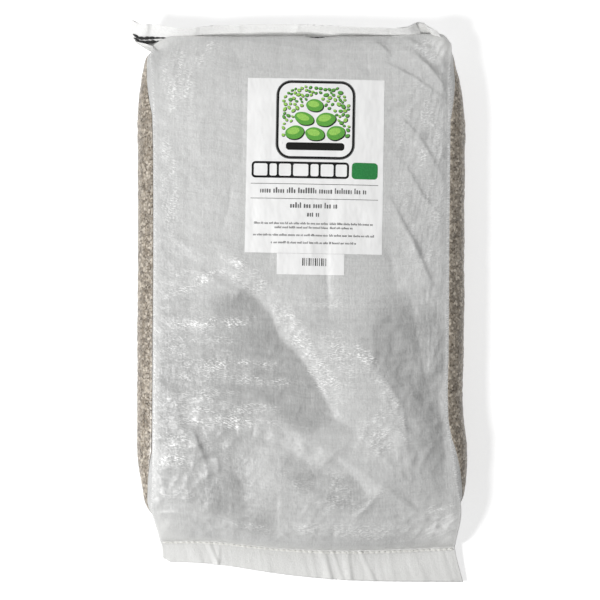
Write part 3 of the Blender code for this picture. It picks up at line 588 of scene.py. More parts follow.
def hem_middle(across, row):
    """Height of the middle of a hem's thickness."""
    head_out, foot_out = np.maximum(row - 1, 0), np.maximum(-row, 0)
    rise = np.sqrt(np.maximum(HEAD_HEM_DEPTH**2 - head_hem_reach(across) ** 2, 0.0))
    head_pleats = between(HEAD_PLEAT_START, 1, head_out) * pleats(across, head_out, HEAD_PLEATS)
    foot_pleats = between(FOOT_PLEAT_START, 1, foot_out) * pleats(across, foot_out, FOOT_PLEATS)
    head = HEAD_SEAM_HEIGHT + head_out * rise + head_pleats
    foot = FOOT_SEAM_HEIGHT - foot_out * FOOT_HEM_DROP + foot_pleats
    return np.where(row > 0.5, head, foot)


def noise_at(u, v, seed):
    """Smooth noise from -1 to 1 for arrays of places."""
    flat = [noise.noise((a, b, seed)) for a, b in zip(u.ravel(), v.ravel())]
    return np.array(flat).reshape(u.shape)


def field_noise(x, y, scale, seed, stretch=1.0, turn=0.0):
    """Noise over the panel, which can be stretched along a direction."""
    u, v = turned(x, y, turn)
    return noise_at(u / (scale * stretch), v / scale, seed)


def ridges(x, y, scale, seed, stretch, turn):
    """Noise with sharp crests."""
    return 1 - RIDGE_STEEPNESS * np.abs(field_noise(x, y, scale, seed, stretch, turn))


def turned(x, y, angle):
    """The same places, seen along axes that are turned by an angle."""
    c, s = math.cos(angle), math.sin(angle)
    return x * c + y * s, -x * s + y * c


def measure_path(points, x, y):
    """How far places lie from a path, on which side (1 is its left), and how far along it."""
    lengths = np.hypot(*np.diff(points, axis=0).T)
    start, total = 0.0, lengths.sum()
    nearest, side, place = np.full(x.shape, np.inf), np.zeros(x.shape), np.zeros(x.shape)
    for (ax, ay), (bx, by), length in zip(points[:-1], points[1:], lengths):
        tx, ty = (bx - ax) / length, (by - ay) / length
        t = np.clip((x - ax) * tx + (y - ay) * ty, 0, length)
        ox, oy = x - ax - t * tx, y - ay - t * ty
        off = np.hypot(ox, oy)
        closer = off < nearest
        nearest = np.where(closer, off, nearest)
        side = np.where(closer, np.sign(tx * oy - ty * ox), side)
        place = np.where(closer, (start + t) / total, place)
        start += length
    return nearest, side, place


def fold_fields(x, y):
    """What the folds add to the front panel's height, and how much darker it is drawn there: painted shade,
    partly fabric pressed on the stones.
    """
    height, pressed_and_shaded = np.zeros_like(x), np.zeros_like(x)
    for high, left, right, *points in FOLDS:
        points = np.array(points)
        margin = FOLD_SPAN * max(left, right)
        low, top = points.min(0) - margin, points.max(0) + margin
        near = (x > low[0]) & (x < top[0]) & (y > low[1]) & (y < top[1])
        off, side, place = measure_path(points, x[near], y[near])
        reach = np.where(side > 0, left, right)
        ends = np.maximum(np.sin(np.pi * place), 0) ** FOLD_TAPER
        height[near] += high * ends * np.exp(-((off / reach) ** FOLD_SHARPNESS))
        # Painted shade, partly fabric pressed on the stones: the gentler side of each deep crease is drawn
        # darker.
        if high < 0 and max(left, right) > PRESSED_AND_SHADED_REACH:
            gentle_side = smooth_step(side * off * np.sign(left - right), *PRESSED_AND_SHADED_SIDE)
            faded = ends * gentle_side * np.exp(-((off / reach) ** PRESSED_AND_SHADED_SHARPNESS))
            pressed_and_shaded[near] += -high / DEEP_CREASE * faded
    # Painted shade, partly fabric pressed on the stones: each listed patch is drawn darker.
    for middle_x, middle_y, half_x, half_y, turn, strength in PRESSED_AND_SHADED_PATCHES:
        u, v = turned(x - middle_x, y - middle_y, math.radians(turn))
        pressed_and_shaded += strength * smooth_step(1 - np.hypot(u / half_x, v / half_y), 0.0, PRESSED_AND_SHADED_EDGE)
    return height, pressed_and_shaded


def crinkle_fields(x, y):
    """Height of the crinkled patches, and how much lighter they are drawn: some stress whitening, mostly
    painted glints and highlights.
    """
    height, white = np.zeros_like(x), np.zeros_like(x)
    for number, (*ellipse, turn, direction, size, high, whitening_and_glints) in enumerate(CRINKLES):
        middle_x, middle_y, half_x, half_y = ellipse
        u, v = turned(x - middle_x, y - middle_y, math.radians(turn))
        share = 1 - np.hypot(u / half_x, v / half_y)
        near = share > 0
        px, py, mask = x[near], y[near], smooth_step(share[near], 0.0, PATCH_EDGE)
        long, short, spots = (
            field_noise(px, py, part * size, number + seed, stretch, math.radians(direction))
            for part, stretch, seed in (LONG_CRINKLES, SHORT_CRINKLES, WHITE_SPOTS)
        )
        height[near] += high * mask * (CRINKLE_BASE - CRINKLE_STEEPNESS * np.abs(long) + SHORT_SHARE * short)
        crest = smooth_step(1 - CREST_STEEPNESS * np.abs(long) + CREST_SHORT_SHARE * short, *CREST_EDGE)
        patchy = between(LEAST_SPOT, 1, smooth_step(spots, *SPOT_EDGE))
        white[near] = np.maximum(white[near], whitening_and_glints * mask * patchy * between(LEAST_CREST, 1, crest))
    return height, white


def puckers(across, row, x):
    """Short wrinkles that run out of the seams, where the fabric is gathered."""
    total, started = 0.0, 1.0
    for distance, (high, reach, width, seed) in zip(seam_distances(across, row), SEAM_PUCKERS):
        wrinkles = field_noise(x, distance * PUCKER_LENGTH_SHARE, width, seed)
        total = total + high * np.exp(-distance / reach) * wrinkles
        started = started * quarter_round(distance / PUCKER_START, 2)
    return started * total


def on_label_share(x, y):
    """1 on the paper labels and 0 off them: paper is stiffer than the fabric."""
    off_x = np.abs(x - LABEL_X) - LABEL_WIDTH / 2
    off_y = np.abs(y - LABEL_Y + STOCK_LABEL_HEIGHT / 2) - (LABEL_HEIGHT + STOCK_LABEL_HEIGHT) / 2
    return 1 - smooth_step(np.maximum(off_x, off_y), *LABEL_STIFF_EDGE)


def crumple(x, y):
    """Small crinkles of the slack fabric: sharp-edged, and in patches."""
    total = 0.0
    for high, size, stretch, turn, seed in CRUMPLE_RIDGES:
        total = total + high * ridges(x, y, size, seed, stretch, turn)
    high, size, stretch, turn, seed = CRUMPLE_FINE
    total = total + high * field_noise(x, y, size, seed, stretch, turn)
    patches = smooth_step(field_noise(x, y, *CRUMPLE_PATCH), *CRUMPLE_PATCH_EDGE)
    right = CRUMPLE_SHARES["right"] * smooth_step(x, *RIGHT_STRIP)
    slack = CRUMPLE_SHARES["slack"] * np.maximum(smooth_step(-y, *LOWER_PART), right)
    return total * between(LEAST_CRUMPLE, 1, patches) * (CRUMPLE_SHARES["panel"] + slack)


def front_fields(across, row):
    """Height of the front panel and of the hems' upper faces, how much lighter it is drawn (stress whitening,
    painted glints and painted highlights), and how much painted shade it gets.
    """
    from_foot, from_head = seam_distances(across, row)
    base = seam_height(row) + HEM_THICKNESS / 2
    edge, middle = (
        quarter_round(from_foot / FOOT_ROUNDING, FOOT_FULLNESS[where])
        * quarter_round(from_head / HEAD_ROUNDING, HEAD_FULLNESS[where])
        for where in ("crease", "middle")
    )
    crowned = 1 - np.abs(across) ** CROWN_FULLNESS
    body = base + (CREASE_HEIGHT + PANEL_CROWN * crowned - base) * between(edge, middle, crowned)
    x, y = place_x(across, row), place_y(across, row)
    crinkles, whitened_and_glinting = crinkle_fields(x, y)
    folds, pressed_and_shaded = fold_fields(x, y)
    held = 1.0
    for where, distance in (("crease", 1 - np.abs(across)), ("foot", from_foot), ("head", from_head)):
        held = held * smooth_step(distance, 0.0, RELIEF_START[where])
    stiff = 1 - LABEL_STIFFNESS * on_label_share(x, y)
    body = body + held * stiff * (folds + crinkles + crumple(x, y)) + puckers(across, row, x) * stiff
    in_body = (row > 0) & (row < 1)
    hem = hem_middle(across, row) + HEM_THICKNESS / 2
    at_crease = CREASE_WHITENING * smooth_step(np.abs(across), CREASE_WHITE_EDGE, 1.0)
    whitened_and_glinting = np.where(in_body, np.maximum(whitened_and_glinting * held * stiff, at_crease), 0.0)
    # Painted light: the head hem is drawn lighter than the foot hem.
    whitened_and_glinting = np.where(row > 1, HEAD_HEM_PAINTED_LIGHT, whitened_and_glinting)
    pressed_and_shaded = np.where(in_body, np.clip(held * stiff * pressed_and_shaded, 0, 1), 0.0)
    return np.where(in_body, body, hem), whitened_and_glinting, pressed_and_shaded


def low_height(across, row):
    near_foot, near_head = (
        quarter_round(distance / UNDERSIDE_LIFT, UNDERSIDE_FULLNESS)
        for distance in seam_distances(across, row)
    )
    body = (seam_height(row) - HEM_THICKNESS / 2) * (1 - near_foot * near_head)
    in_body = (row > 0) & (row < 1)
    return np.where(in_body, body, hem_middle(across, row) - HEM_THICKNESS / 2)


def gusset_bulge(side, row):
    from_ends = seam_distances(np.full_like(row, side), row)
    bulge = GUSSET_BULGE
    for distance, margin in zip(from_ends, (GUSSET_FOOT_MARGIN[side], GUSSET_HEAD_MARGIN)):
        bulge = bulge * quarter_round((distance - margin) / GUSSET_END_ROUNDING, GUSSET_END_FULLNESS)
    which = np.full_like(row, side * GUSSET_WAVES["side"])
    waves = noise_at(row * GUSSET_WAVES["along"], which, GUSSET_WAVES["seed"])
    return bulge * (1 + GUSSET_UNEVENNESS * waves)


def side_surface(side, shares, rows, top, low):
    """Points of a side wall for shares from its lower crease (0) to its upper one (1)."""
    across = np.full_like(rows, side)
    low = low + np.minimum(UNDERSIDE_ROUNDING, UNDERSIDE_ROUNDING_SHARE * (top - low))
    out = gusset_bulge(side, rows) * np.sin(np.pi * shares) ** GUSSET_SECTION_POWER
    x = crease_x(side, rows) + side * out
    return np.stack([x, place_y(across, rows, shares), between(low, top, shares)], -1)


def row_values():
    t = np.arange(BODY_ROWS + 1) / BODY_ROWS
    body = t - ROW_CROWDING * np.sin(2 * np.pi * t) / (2 * np.pi)
    foot = -1 + np.arange(HEM_ROWS) / HEM_ROWS
    head = 1 + np.arange(1, HEM_ROWS + 1) / HEM_ROWS
    return np.concatenate([foot, body, head])


def column_values(count):
    place = 2 * np.arange(count + 1) / count - 1
    return place * (1 + COLUMN_CROWDING * (1 - place * place))


ROWS = row_values()
FRONT = column_values(FRONT_COLUMNS)
GRID_ACROSS, GRID_ROWS = np.meshgrid(FRONT, ROWS)
# Heights of the front, how much lighter it is drawn (stress whitening and painted glints), and how much
# painted shade it gets
TOP_Z, WHITENED_AND_GLINTING, PRESSED_AND_SHADED = front_fields(GRID_ACROSS, GRID_ROWS)
TOP_X, TOP_Y = place_x(GRID_ACROSS, GRID_ROWS), place_y(GRID_ACROSS, GRID_ROWS)


def link(name, mesh, finish):
    mesh.materials.append(finish)
    piece = bpy.data.objects.new(name, mesh)
    bpy.context.scene.collection.objects.link(piece)
    return piece


def fit(name, mesh, finish, node):
    """Adds a piece of the sack, which stands for a node unless it only adds to one."""
    piece = link(name, mesh, finish)
    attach(piece, "root")
    if node:
        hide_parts(node)
    return piece


def grid_faces(rows, columns, wrap=False):
    """Quads of a grid of points numbered row by row."""
    last = columns if wrap else columns - 1
    row, column = np.meshgrid(np.arange(rows - 1), np.arange(last), indexing="ij")
    here, beside = row * columns + column, row * columns + (column + 1) % columns
    return np.stack([here, beside, beside + columns, here + columns], -1).reshape(-1, 4)


def closed_sheet(rows, columns):
    """Faces of a closed sheet of two grids of points: its front, its back and the wall round its edge."""
    faces, count = grid_faces(rows, columns), rows * columns
    numbers = np.arange(count).reshape(rows, columns)
    rim = np.concatenate([numbers[0], numbers[1:, -1], numbers[-1, -2::-1], numbers[-2:0:-1, 0]])
    following = np.roll(rim, -1)
    wall = np.stack([following, rim, rim + count, following + count], -1)
    return np.concatenate([faces, faces[:, ::-1] + count, wall])


def mesh_of(name, points, faces):
    mesh = bpy.data.meshes.new(name)
    mesh.from_pydata(np.asarray(points).reshape(-1, 3).tolist(), [], [list(map(int, face)) for face in faces])
    mesh.update()
    mesh.shade_smooth()
    return mesh


def arc_lengths(points, axis):
    """How far along the fabric each point of a grid lies, in one direction of the grid."""
    steps = np.linalg.norm(np.diff(points, axis=axis), axis=-1)
    shape = list(points.shape[:2])
    shape[axis] = 1
    return np.concatenate([np.zeros(shape), np.cumsum(steps, axis)], axis)


def set_vectors(mesh, name, values):
    attribute = mesh.attributes.new(name, "FLOAT_VECTOR", "POINT")
    attribute.data.foreach_set("vector", np.asarray(values, float).ravel())


def set_floats(mesh, name, values):
    attribute = mesh.attributes.new(name, "FLOAT", "POINT")
    attribute.data.foreach_set("value", np.asarray(values, float).ravel())


def zipped(first, second, points):
    """Triangles between two lines of point numbers that run the same way."""
    places = []
    for line in (first, second):
        steps = np.linalg.norm(np.diff(points[line], axis=0), axis=1)
        places.append(np.r_[0, np.cumsum(steps)] / steps.sum())
    faces, i, j = [], 0, 0
    while i < len(first) - 1 or j < len(second) - 1:
        second_is_last = j == len(second) - 1
        if second_is_last or (i < len(first) - 1 and places[0][i + 1] <= places[1][j + 1]):
            faces.append((first[i], first[i + 1], second[j]))
            i += 1
        else:
            faces.append((first[i], second[j + 1], second[j]))
            j += 1
    return faces


def ring_points():
    """Every row of the sack's outer surface: front, right side, underside, left side."""
    shares = np.arange(SIDE_COLUMNS + 1) / SIDE_COLUMNS
    under = column_values(UNDER_COLUMNS)[1:-1][::-1]
    front = np.stack([TOP_X, TOP_Y, TOP_Z], -1)
    side_rows, side_shares = np.meshgrid(ROWS, shares, indexing="ij")
    sides = {}
    for side in (-1, 1):
        across = np.full_like(side_rows, side)
        top = np.repeat(TOP_Z[:, [0 if side < 0 else -1]], len(shares), 1)
        sides[side] = side_surface(side, side_shares, side_rows, top, low_height(across, side_rows))
    under_rows, under_across = np.meshgrid(ROWS, under, indexing="ij")
    under_x, under_y = place_x(under_across, under_rows), place_y(under_across, under_rows, 0.0)
    bottom = np.stack([under_x, under_y, low_height(under_across, under_rows)], -1)
    return np.concatenate([front, sides[1][:, -2::-1], bottom, sides[-1][:, :-1]], 1)


def end_cap(points, row, columns, flipped):
    """Closes the sack's surface at a hem's edge, from the upper face to the lower one."""
    numbers = row * columns + np.arange(columns)
    upper = numbers[: FRONT_COLUMNS + 1]
    lower = np.r_[numbers[0], numbers[:FRONT_COLUMNS:-1], numbers[FRONT_COLUMNS]]
    faces = [face for face in zipped(upper, lower, points) if len(set(face)) == 3]
    return [face[::-1] for face in faces] if flipped else faces


def make_sack(fabric):
    points = ring_points()
    rows, columns = points.shape[:2]
    flat = points.reshape(-1, 3)
    faces = grid_faces(rows, columns, wrap=True)
    faces = faces.tolist() + end_cap(flat, 0, columns, True) + end_cap(flat, rows - 1, columns, False)
    mesh = mesh_of("sack_shell", points, faces)
    # The painted glints and highlights and the painted shade are kept on the mesh for the fabric's colour.
    for name, values in (("whitening_and_glints", WHITENED_AND_GLINTING), ("pressed_and_shaded", PRESSED_AND_SHADED)):
        field = np.zeros((rows, columns))
        field[:, : FRONT_COLUMNS + 1] = values
        set_floats(mesh, name, field)
    from_seam = np.minimum(*seam_distances(np.zeros(rows), ROWS))
    backing_and_lit_corners = np.repeat(smooth_step(from_seam, 0.0, BACKING_START)[:, None], columns, 1)
    # Painted light: the value also falls towards the sack's four corners, so the fabric there is drawn
    # whiter.
    for side in (-1, 1):
        ends = (
            (0.0, foot_seam_y(side), LIT_CORNER_SCALE * GUSSET_FOOT_MARGIN[side]),
            (1.0, head_seam_y(side), LIT_CORNER_SCALE * HEAD_LIT_CORNER),
        )
        for row, corner_y, reach in ends:
            away = np.hypot(points[..., 0] - crease_x(side, row), points[..., 1] - corner_y)
            backing_and_lit_corners *= smooth_step(away / reach, 0.0, 1.0)
    set_floats(mesh, "backing_and_lit_corners", backing_and_lit_corners)
    middle = FRONT_COLUMNS // 2
    along_rows = arc_lengths(points, 0)
    across_rows = arc_lengths(points, 1)
    across_rows = across_rows - across_rows[:, [middle]]
    set_vectors(mesh, "weave", np.stack([across_rows, along_rows, np.zeros((rows, columns))], -1))
    sack = fit("sack_shell", mesh, fabric, "woven_sack")
    return sack


def make_gusset(side, node, clear):
    """The clear side panel, pushed into lumps by the stones behind it."""
    length = HEAD_SEAM_Y - FOOT_SEAM_Y
    first, last = GUSSET_FOOT_MARGIN[side] / length, 1 - GUSSET_TIP_MARGIN * GUSSET_HEAD_MARGIN / length
    rows = np.linspace(first, last, GUSSET_ROWS)
    shares = np.linspace(GUSSET_LOW_SHARE, GUSSET_HIGH_SHARE, GUSSET_COLUMNS + 1)
    grid_rows, grid_shares = np.meshgrid(rows, shares, indexing="ij")
    across = np.full_like(grid_rows, side)
    top = np.repeat(front_fields(across[:, :1], grid_rows[:, :1])[0], len(shares), 1)
    low = low_height(across, grid_rows)
    taper = np.minimum(1, GUSSET_TAPER * np.minimum(rows - rows[0], rows[-1] - rows))[:, None]
    middle_share = (GUSSET_LOW_SHARE + GUSSET_HIGH_SHARE) / 2
    narrowed = between(middle_share, grid_shares, between(GUSSET_TIP_SHARE, 1, taper))
    surface = side_surface(side, narrowed, grid_rows, top, low)
    from_edge = np.minimum(grid_shares - shares[0], shares[-1] - grid_shares) / (shares[-1] - shares[0])
    edge = np.minimum(1, GUSSET_EDGE * from_edge) * np.minimum(1, GUSSET_TIP_EDGE * taper)
    outward = np.zeros_like(surface)
    outward[..., 0] = side
    outer = surface + outward * (GUSSET_PROUD + edge * (side_lumps(surface) + GUSSET_PUSH))[..., None]
    inner = surface - outward * GUSSET_THICKNESS
    faces = closed_sheet(*outer.shape[:2])
    if side > 0:
        faces = faces[:, ::-1]
    mesh = mesh_of(f"{node}_panel", np.concatenate([outer.reshape(-1, 3), inner.reshape(-1, 3)]), faces)
    arcs = np.stack([arc_lengths(outer, 0), arc_lengths(outer, 1), np.zeros_like(edge)], -1).reshape(-1, 3)
    set_vectors(mesh, "weave", np.concatenate([arcs, arcs]))
    fit(f"{node}_panel", mesh, clear, node)


def side_lumps(surface):
    """How far stones push the side fabric out: round-topped lumps with sharp valleys between."""
    total = 0.0
    for high, size, seed in GUSSET_LUMPS:
        lumps = np.abs(field_noise(surface[..., 1], surface[..., 2], size, seed))
        total = total + high * np.minimum(LUMP_STEEPNESS * lumps, 1)
    return total


def make_filling(pumice):
    """The pumice inside: one lumpy body a little smaller than the sack."""
    rows = np.linspace(*FILLING_ENDS, FILLING_ROWS)
    turns = np.linspace(0, 2 * np.pi, FILLING_COLUMNS, endpoint=False)
    grid_rows, grid_turns = np.meshgrid(rows, turns, indexing="ij")
    across, upward = FILLING_WIDTH * np.cos(grid_turns), np.sin(grid_turns)
    share = (1 + np.abs(upward) ** FILLING_SQUARENESS * np.sign(upward)) / 2
    low = low_height(across, grid_rows) + FILLING_GAP
    z = between(low, front_fields(across, grid_rows)[0] - FILLING_TOP_GAP, share)
    points = np.stack([place_x(across, grid_rows), place_y(across, grid_rows, share), z], -1)
    faces = grid_faces(FILLING_ROWS, FILLING_COLUMNS, wrap=True).tolist()
    last = (FILLING_ROWS - 1) * FILLING_COLUMNS
    faces += [list(range(FILLING_COLUMNS)), list(range(last + FILLING_COLUMNS - 1, last - 1, -1))]
    mesh = mesh_of("pumice_stones", points, [face[::-1] for face in faces])
    fit("pumice_stones", mesh, pumice, "pumice_fill")


def make_surface_finder(sack):
    """A function from a place in plan to the height of the sack's upper face there."""
    tree = BVHTree.FromPolygons(
        [vertex.co for vertex in sack.data.vertices], [polygon.vertices for polygon in sack.data.polygons]
    )

    def height_at(x, y):
        hit = tree.ray_cast(Vector((x, y, 0.5)), Vector((0, 0, -1)))
        return hit[0].z if hit[0] else 0.0

    return height_at


def on_label(outline):
    c, s = math.cos(LABEL_TURN), math.sin(LABEL_TURN)
    return [(LABEL_X + x * c - y * s, LABEL_Y + x * s + y * c) for x, y in outline]


def box_outline(middle_x, middle_y, width, height):
    x, y = width / 2, height / 2
    return [(middle_x + a * x, middle_y + b * y) for a, b in ((-1, -1), (1, -1), (1, 1), (-1, 1))]


def rounded_outline(middle_x, middle_y, width, height, corner, steps=8):
    points = []
    for quarter, (a, b) in enumerate(((1, 1), (-1, 1), (-1, -1), (1, -1))):
        x, y = middle_x + a * (width / 2 - corner), middle_y + b * (height / 2 - corner)
        for step in range(steps + 1):
            angle = (quarter + step / steps) * math.pi / 2
            points.append((x + corner * math.cos(angle), y + corner * math.sin(angle)))
    return points


def stone_outline(middle_x, middle_y, half_length, half_height, turn, seed):
    c, s = math.cos(math.radians(turn)), math.sin(math.radians(turn))
    points = []
    for i in range(STONE_POINTS):
        angle = 2 * math.pi * i / STONE_POINTS
        around = math.cos(angle), math.sin(angle)
        spot = STONE_WAVES * around[0], STONE_WAVES * around[1], seed * STONE_SEED_STEP
        uneven = 1 + STONE_UNEVENNESS * noise.noise(spot)
        x, y = half_length * uneven * around[0], half_height * uneven * around[1]
        points.append((middle_x + x * c - y * s, middle_y + x * s + y * c))
    return points


def drape(bm, height_at, lift, thickness):
    """Lays flat faces on the sack and gives them a thickness."""
    bmesh.ops.recalc_face_normals(bm, faces=bm.faces)
    if bm.faces[:] and sum(face.normal.z for face in bm.faces) < 0:
        bmesh.ops.reverse_faces(bm, faces=bm.faces)
    for vertex in bm.verts:
        vertex.co.z = height_at(vertex.co.x, vertex.co.y) + lift
    raised = bmesh.ops.extrude_face_region(bm, geom=bm.faces[:])
    upper = [item for item in raised["geom"] if isinstance(item, bmesh.types.BMVert)]
    bmesh.ops.translate(bm, verts=upper, vec=(0, 0, thickness))
    bmesh.ops.recalc_face_normals(bm, faces=bm.faces)


def flat_shape(outlines, cell):
    """Flat faces inside plan outlines, cut along a square grid so that they can bend."""
    bm = bmesh.new()
    for outline in outlines:
        bm.faces.new([bm.verts.new((x, y, 0)) for x, y in outline])
    bm.normal_update()
    for axis in (0, 1):
        places = [vertex.co[axis] for vertex in bm.verts]
        direction = [0, 0, 0]
        direction[axis] = 1
        for number in range(math.ceil(min(places) / cell), math.floor(max(places) / cell) + 1):
            spot = [0, 0, 0]
            spot[axis] = number * cell
            every = bm.verts[:] + bm.edges[:] + bm.faces[:]
            bmesh.ops.bisect_plane(bm, geom=every, dist=1e-7, plane_co=spot, plane_no=direction)
    return bm


def ring_shape(outer, inner, cell):
    """A flat ring between two outlines with the same number of points."""
    quads = []
    for i in range(len(outer)):
        j = (i + 1) % len(outer)
        quads.append((outer[i], outer[j], inner[j], inner[i]))
    bm = flat_shape(quads, cell)
    bmesh.ops.remove_doubles(bm, verts=bm.verts, dist=1e-6)
    return bm


def lay(name, node, bm, height_at, lift, thickness, finish):
    drape(bm, height_at, lift, thickness)
    mesh = bpy.data.meshes.new(name)
    bm.to_mesh(mesh)
    bm.free()
    mesh.shade_smooth()
    mesh.set_sharp_from_angle(angle=SHARP_ANGLE)
    fit(name, mesh, finish, node)


def make_print(name, node, outlines, height_at, ink, hole=None, layer=0):
    """Print on the labels. A higher layer lies over a lower one."""
    if hole:
        bm = ring_shape(on_label(outlines[0]), on_label(hole), PRINT_CELL)
    else:
        bm = flat_shape([on_label(outline) for outline in outlines], PRINT_CELL)
    lay(name, node, bm, height_at, PRINT_LIFT + layer * PRINT_THICKNESS, PRINT_THICKNESS, ink)


def make_sheet(node, box, height_at, paper):
    bm = flat_shape([on_label(box_outline(*box))], LABEL_CELL)
    lay(f"{node}_paper", node, bm, height_at, LABEL_LIFT, LABEL_THICKNESS, paper)


def small_pebbles(middle_y):
    """Places of the small pebbles that fill the emblem round its six stones."""
    draw = random.Random(PEBBLE_SEED)
    stone_room = PEBBLE_ROOM["stone"]
    taken = [(x * EMBLEM_SIZE, y * EMBLEM_SIZE, stone_room * a * EMBLEM_SIZE) for x, y, a, _, _ in STONES]
    half = EMBLEM_SIZE / 2 - EMBLEM_LINE
    floor = -(EMBLEM_GROUND[0] - EMBLEM_GROUND[2]) * EMBLEM_SIZE
    found = []
    for _ in range(PEBBLE_TRIES):
        size = draw.uniform(*PEBBLE_SIZES)
        x, y = draw.uniform(-half, half), draw.uniform(floor, half)
        off_edge = max(abs(x), abs(y)) < half - PEBBLE_ROOM["edge"] * size and y > floor + size
        off_corner = math.hypot(x, y) < PEBBLE_ROOM["corner"] * half - size
        free = all(math.hypot(x - a, y - b) > size + c for a, b, c in taken)
        if off_edge and off_corner and free:
            taken.append((x, y, size))
            flatness, turn = draw.uniform(*PEBBLE_FLATNESS), draw.uniform(-PEBBLE_TURN, PEBBLE_TURN)
            found.append((x, middle_y + y, size, flatness * size, turn))
    return found


def shade_outline(x, y, half_length, half_height, turn, seed, shares, shift):
    """The dark edge that shows under a stone, at its lower right."""
    size = half_length * shares[0], half_height * shares[1]
    return stone_outline(x + shift, y - shift, *size, turn, seed)


def make_emblem(middle_y, height_at, dark, green, light_green, grey):
    inside = EMBLEM_SIZE - 2 * EMBLEM_DRAWN_LINE
    outside = EMBLEM_SIZE + 2 * EMBLEM_OUTLINE
    frame_line = rounded_outline(0, middle_y, EMBLEM_SIZE, EMBLEM_SIZE, EMBLEM_CORNER)
    opening = rounded_outline(0, middle_y, inside, inside, EMBLEM_CORNER - EMBLEM_DRAWN_LINE)
    halo = rounded_outline(0, middle_y, outside, outside, EMBLEM_CORNER + EMBLEM_OUTLINE)
    make_print("emblem_frame_print", "emblem_frame", [frame_line], height_at, dark, opening)
    make_print("emblem_halo", None, [halo], height_at, grey, frame_line)
    drop, width, height = (EMBLEM_SIZE * share for share in EMBLEM_GROUND)
    ground = rounded_outline(0, middle_y - drop, width, height, EMBLEM_GROUND_CORNER * height)
    make_print("emblem_ground_print", "emblem_ground", [ground], height_at, dark)
    shades = []
    for number, (*shares, turn) in enumerate(STONES, 1):
        x, y, half_length, half_height = (EMBLEM_SIZE * share for share in shares)
        y += middle_y
        node = f"emblem_stone_{number}"
        outline = stone_outline(x, y, half_length, half_height, turn, number)
        make_print(node + "_print", node, [outline], height_at, green, layer=1)
        light_x, light_y = x + STONE_LIGHT_SHIFT[0] * half_length, y + STONE_LIGHT_SHIFT[1] * half_height
        size = STONE_LIGHT[0] * half_length, STONE_LIGHT[1] * half_height
        light = stone_outline(light_x, light_y, *size, turn, number)
        make_print(node + "_light", None, [light], height_at, light_green, layer=2)
        stone = x, y, half_length, half_height, turn, number
        shades.append(shade_outline(*stone, STONE_SHADE, SHADE_SHIFT))
    pebbles = small_pebbles(middle_y)
    outlines = [stone_outline(*pebble, number) for number, pebble in enumerate(pebbles)]
    shades += [shade_outline(*pebble, 1, PEBBLE_SHADE, PEBBLE_SHADE_SHIFT) for pebble in pebbles]
    make_print("emblem_shade", None, shades, height_at, dark)
    make_print("emblem_pebbles", None, outlines[::2], height_at, green, layer=1)
    make_print("emblem_light_pebbles", None, outlines[1::2], height_at, light_green, layer=1)


def print_bars(name, middle_y, height, width):
    """A line of print as upright bars in groups, or one bar for a rule."""
    if name.startswith("rule"):
        return [box_outline(0, middle_y, width, RULE_SHARE * height)]
    draw = random.Random(name)
    bars, x, left_in_group = [], -width / 2, 0
    while x < width / 2 - LAST_BAR_ROOM * height:
        if not left_in_group:
            left_in_group = draw.randint(*BARS_IN_GROUP)
        wide, tall = draw.uniform(*BAR_WIDTHS) * height, draw.choice(BAR_HEIGHTS) * height
        wide = min(wide, width / 2 - x)
        bar_y = middle_y + (tall - BAR_HEIGHTS[0] * height) / 2
        bars.append(rounded_outline(x + wide / 2, bar_y, wide, tall, BAR_CORNER * wide, steps=2))
        left_in_group -= 1
        x += wide + (BAR_SPACE if left_in_group else GROUP_SPACE) * height
    return bars


def make_title(y, height_at, paper, dark, deep_green):
    """A black bar with pale blocks in it, and a green bar."""
    band = -TITLE_HALF_WIDTH, TITLE_SPLIT - TITLE_SPLIT_GAP / 2
    accent = TITLE_SPLIT + TITLE_SPLIT_GAP / 2, TITLE_HALF_WIDTH
    middle_y = y + TITLE_HEIGHT / 2
    bars = (("title_band", band, "black_print", dark), ("title_accent", accent, "green_print", deep_green))
    for node, (left, right), slot, ink in bars:
        outline = rounded_outline((left + right) / 2, middle_y, right - left, TITLE_HEIGHT, TITLE_CORNER)
        make_print(node + "_print", node, [outline], height_at, ink)
    blocks, x = [], band[0] + TITLE_LINE
    clear = band[1] - band[0] - 2 * TITLE_LINE
    for share in TITLE_BLOCKS:
        width = share * (clear - (len(TITLE_BLOCKS) - 1) * TITLE_LINE)
        height = TITLE_HEIGHT - 2 * TITLE_LINE
        blocks.append(rounded_outline(x + width / 2, middle_y, width, height, TITLE_BLOCK_CORNER))
        x += width + TITLE_LINE
    make_print("title_blocks", None, blocks, height_at, paper, layer=1)


def make_main_label(height_at, paper, dark, green, light_green, deep_green, grey):
    make_sheet("main_label", (0, 0, LABEL_WIDTH, LABEL_HEIGHT), height_at, paper)
    y = LABEL_HEIGHT / 2 - LABEL_TOP_MARGIN - EMBLEM_SIZE
    make_emblem(y + EMBLEM_SIZE / 2, height_at, dark, green, light_green, grey)
    y -= TITLE_GAP + TITLE_HEIGHT
    make_title(y, height_at, paper, dark, deep_green)
    for node, height, gap, share in PRINT_LINES:
        y -= gap + height
        outlines = print_bars(node, y + height / 2, height, share * LABEL_WIDTH)
        make_print(node + "_print", node, outlines, height_at, grey)


def barcode_bars(middle_x, middle_y):
    left = middle_x - BARCODE_WIDTH / 2
    pitch = BARCODE_WIDTH / (BARCODE_BARS - 0.5)
    bars = []
    for i in range(BARCODE_BARS):
        width = pitch * (NARROW_BAR if i % 3 else WIDE_BAR)
        bars.append(box_outline(left + i * pitch + width / 2, middle_y, width, BARCODE_HEIGHT))
    return bars


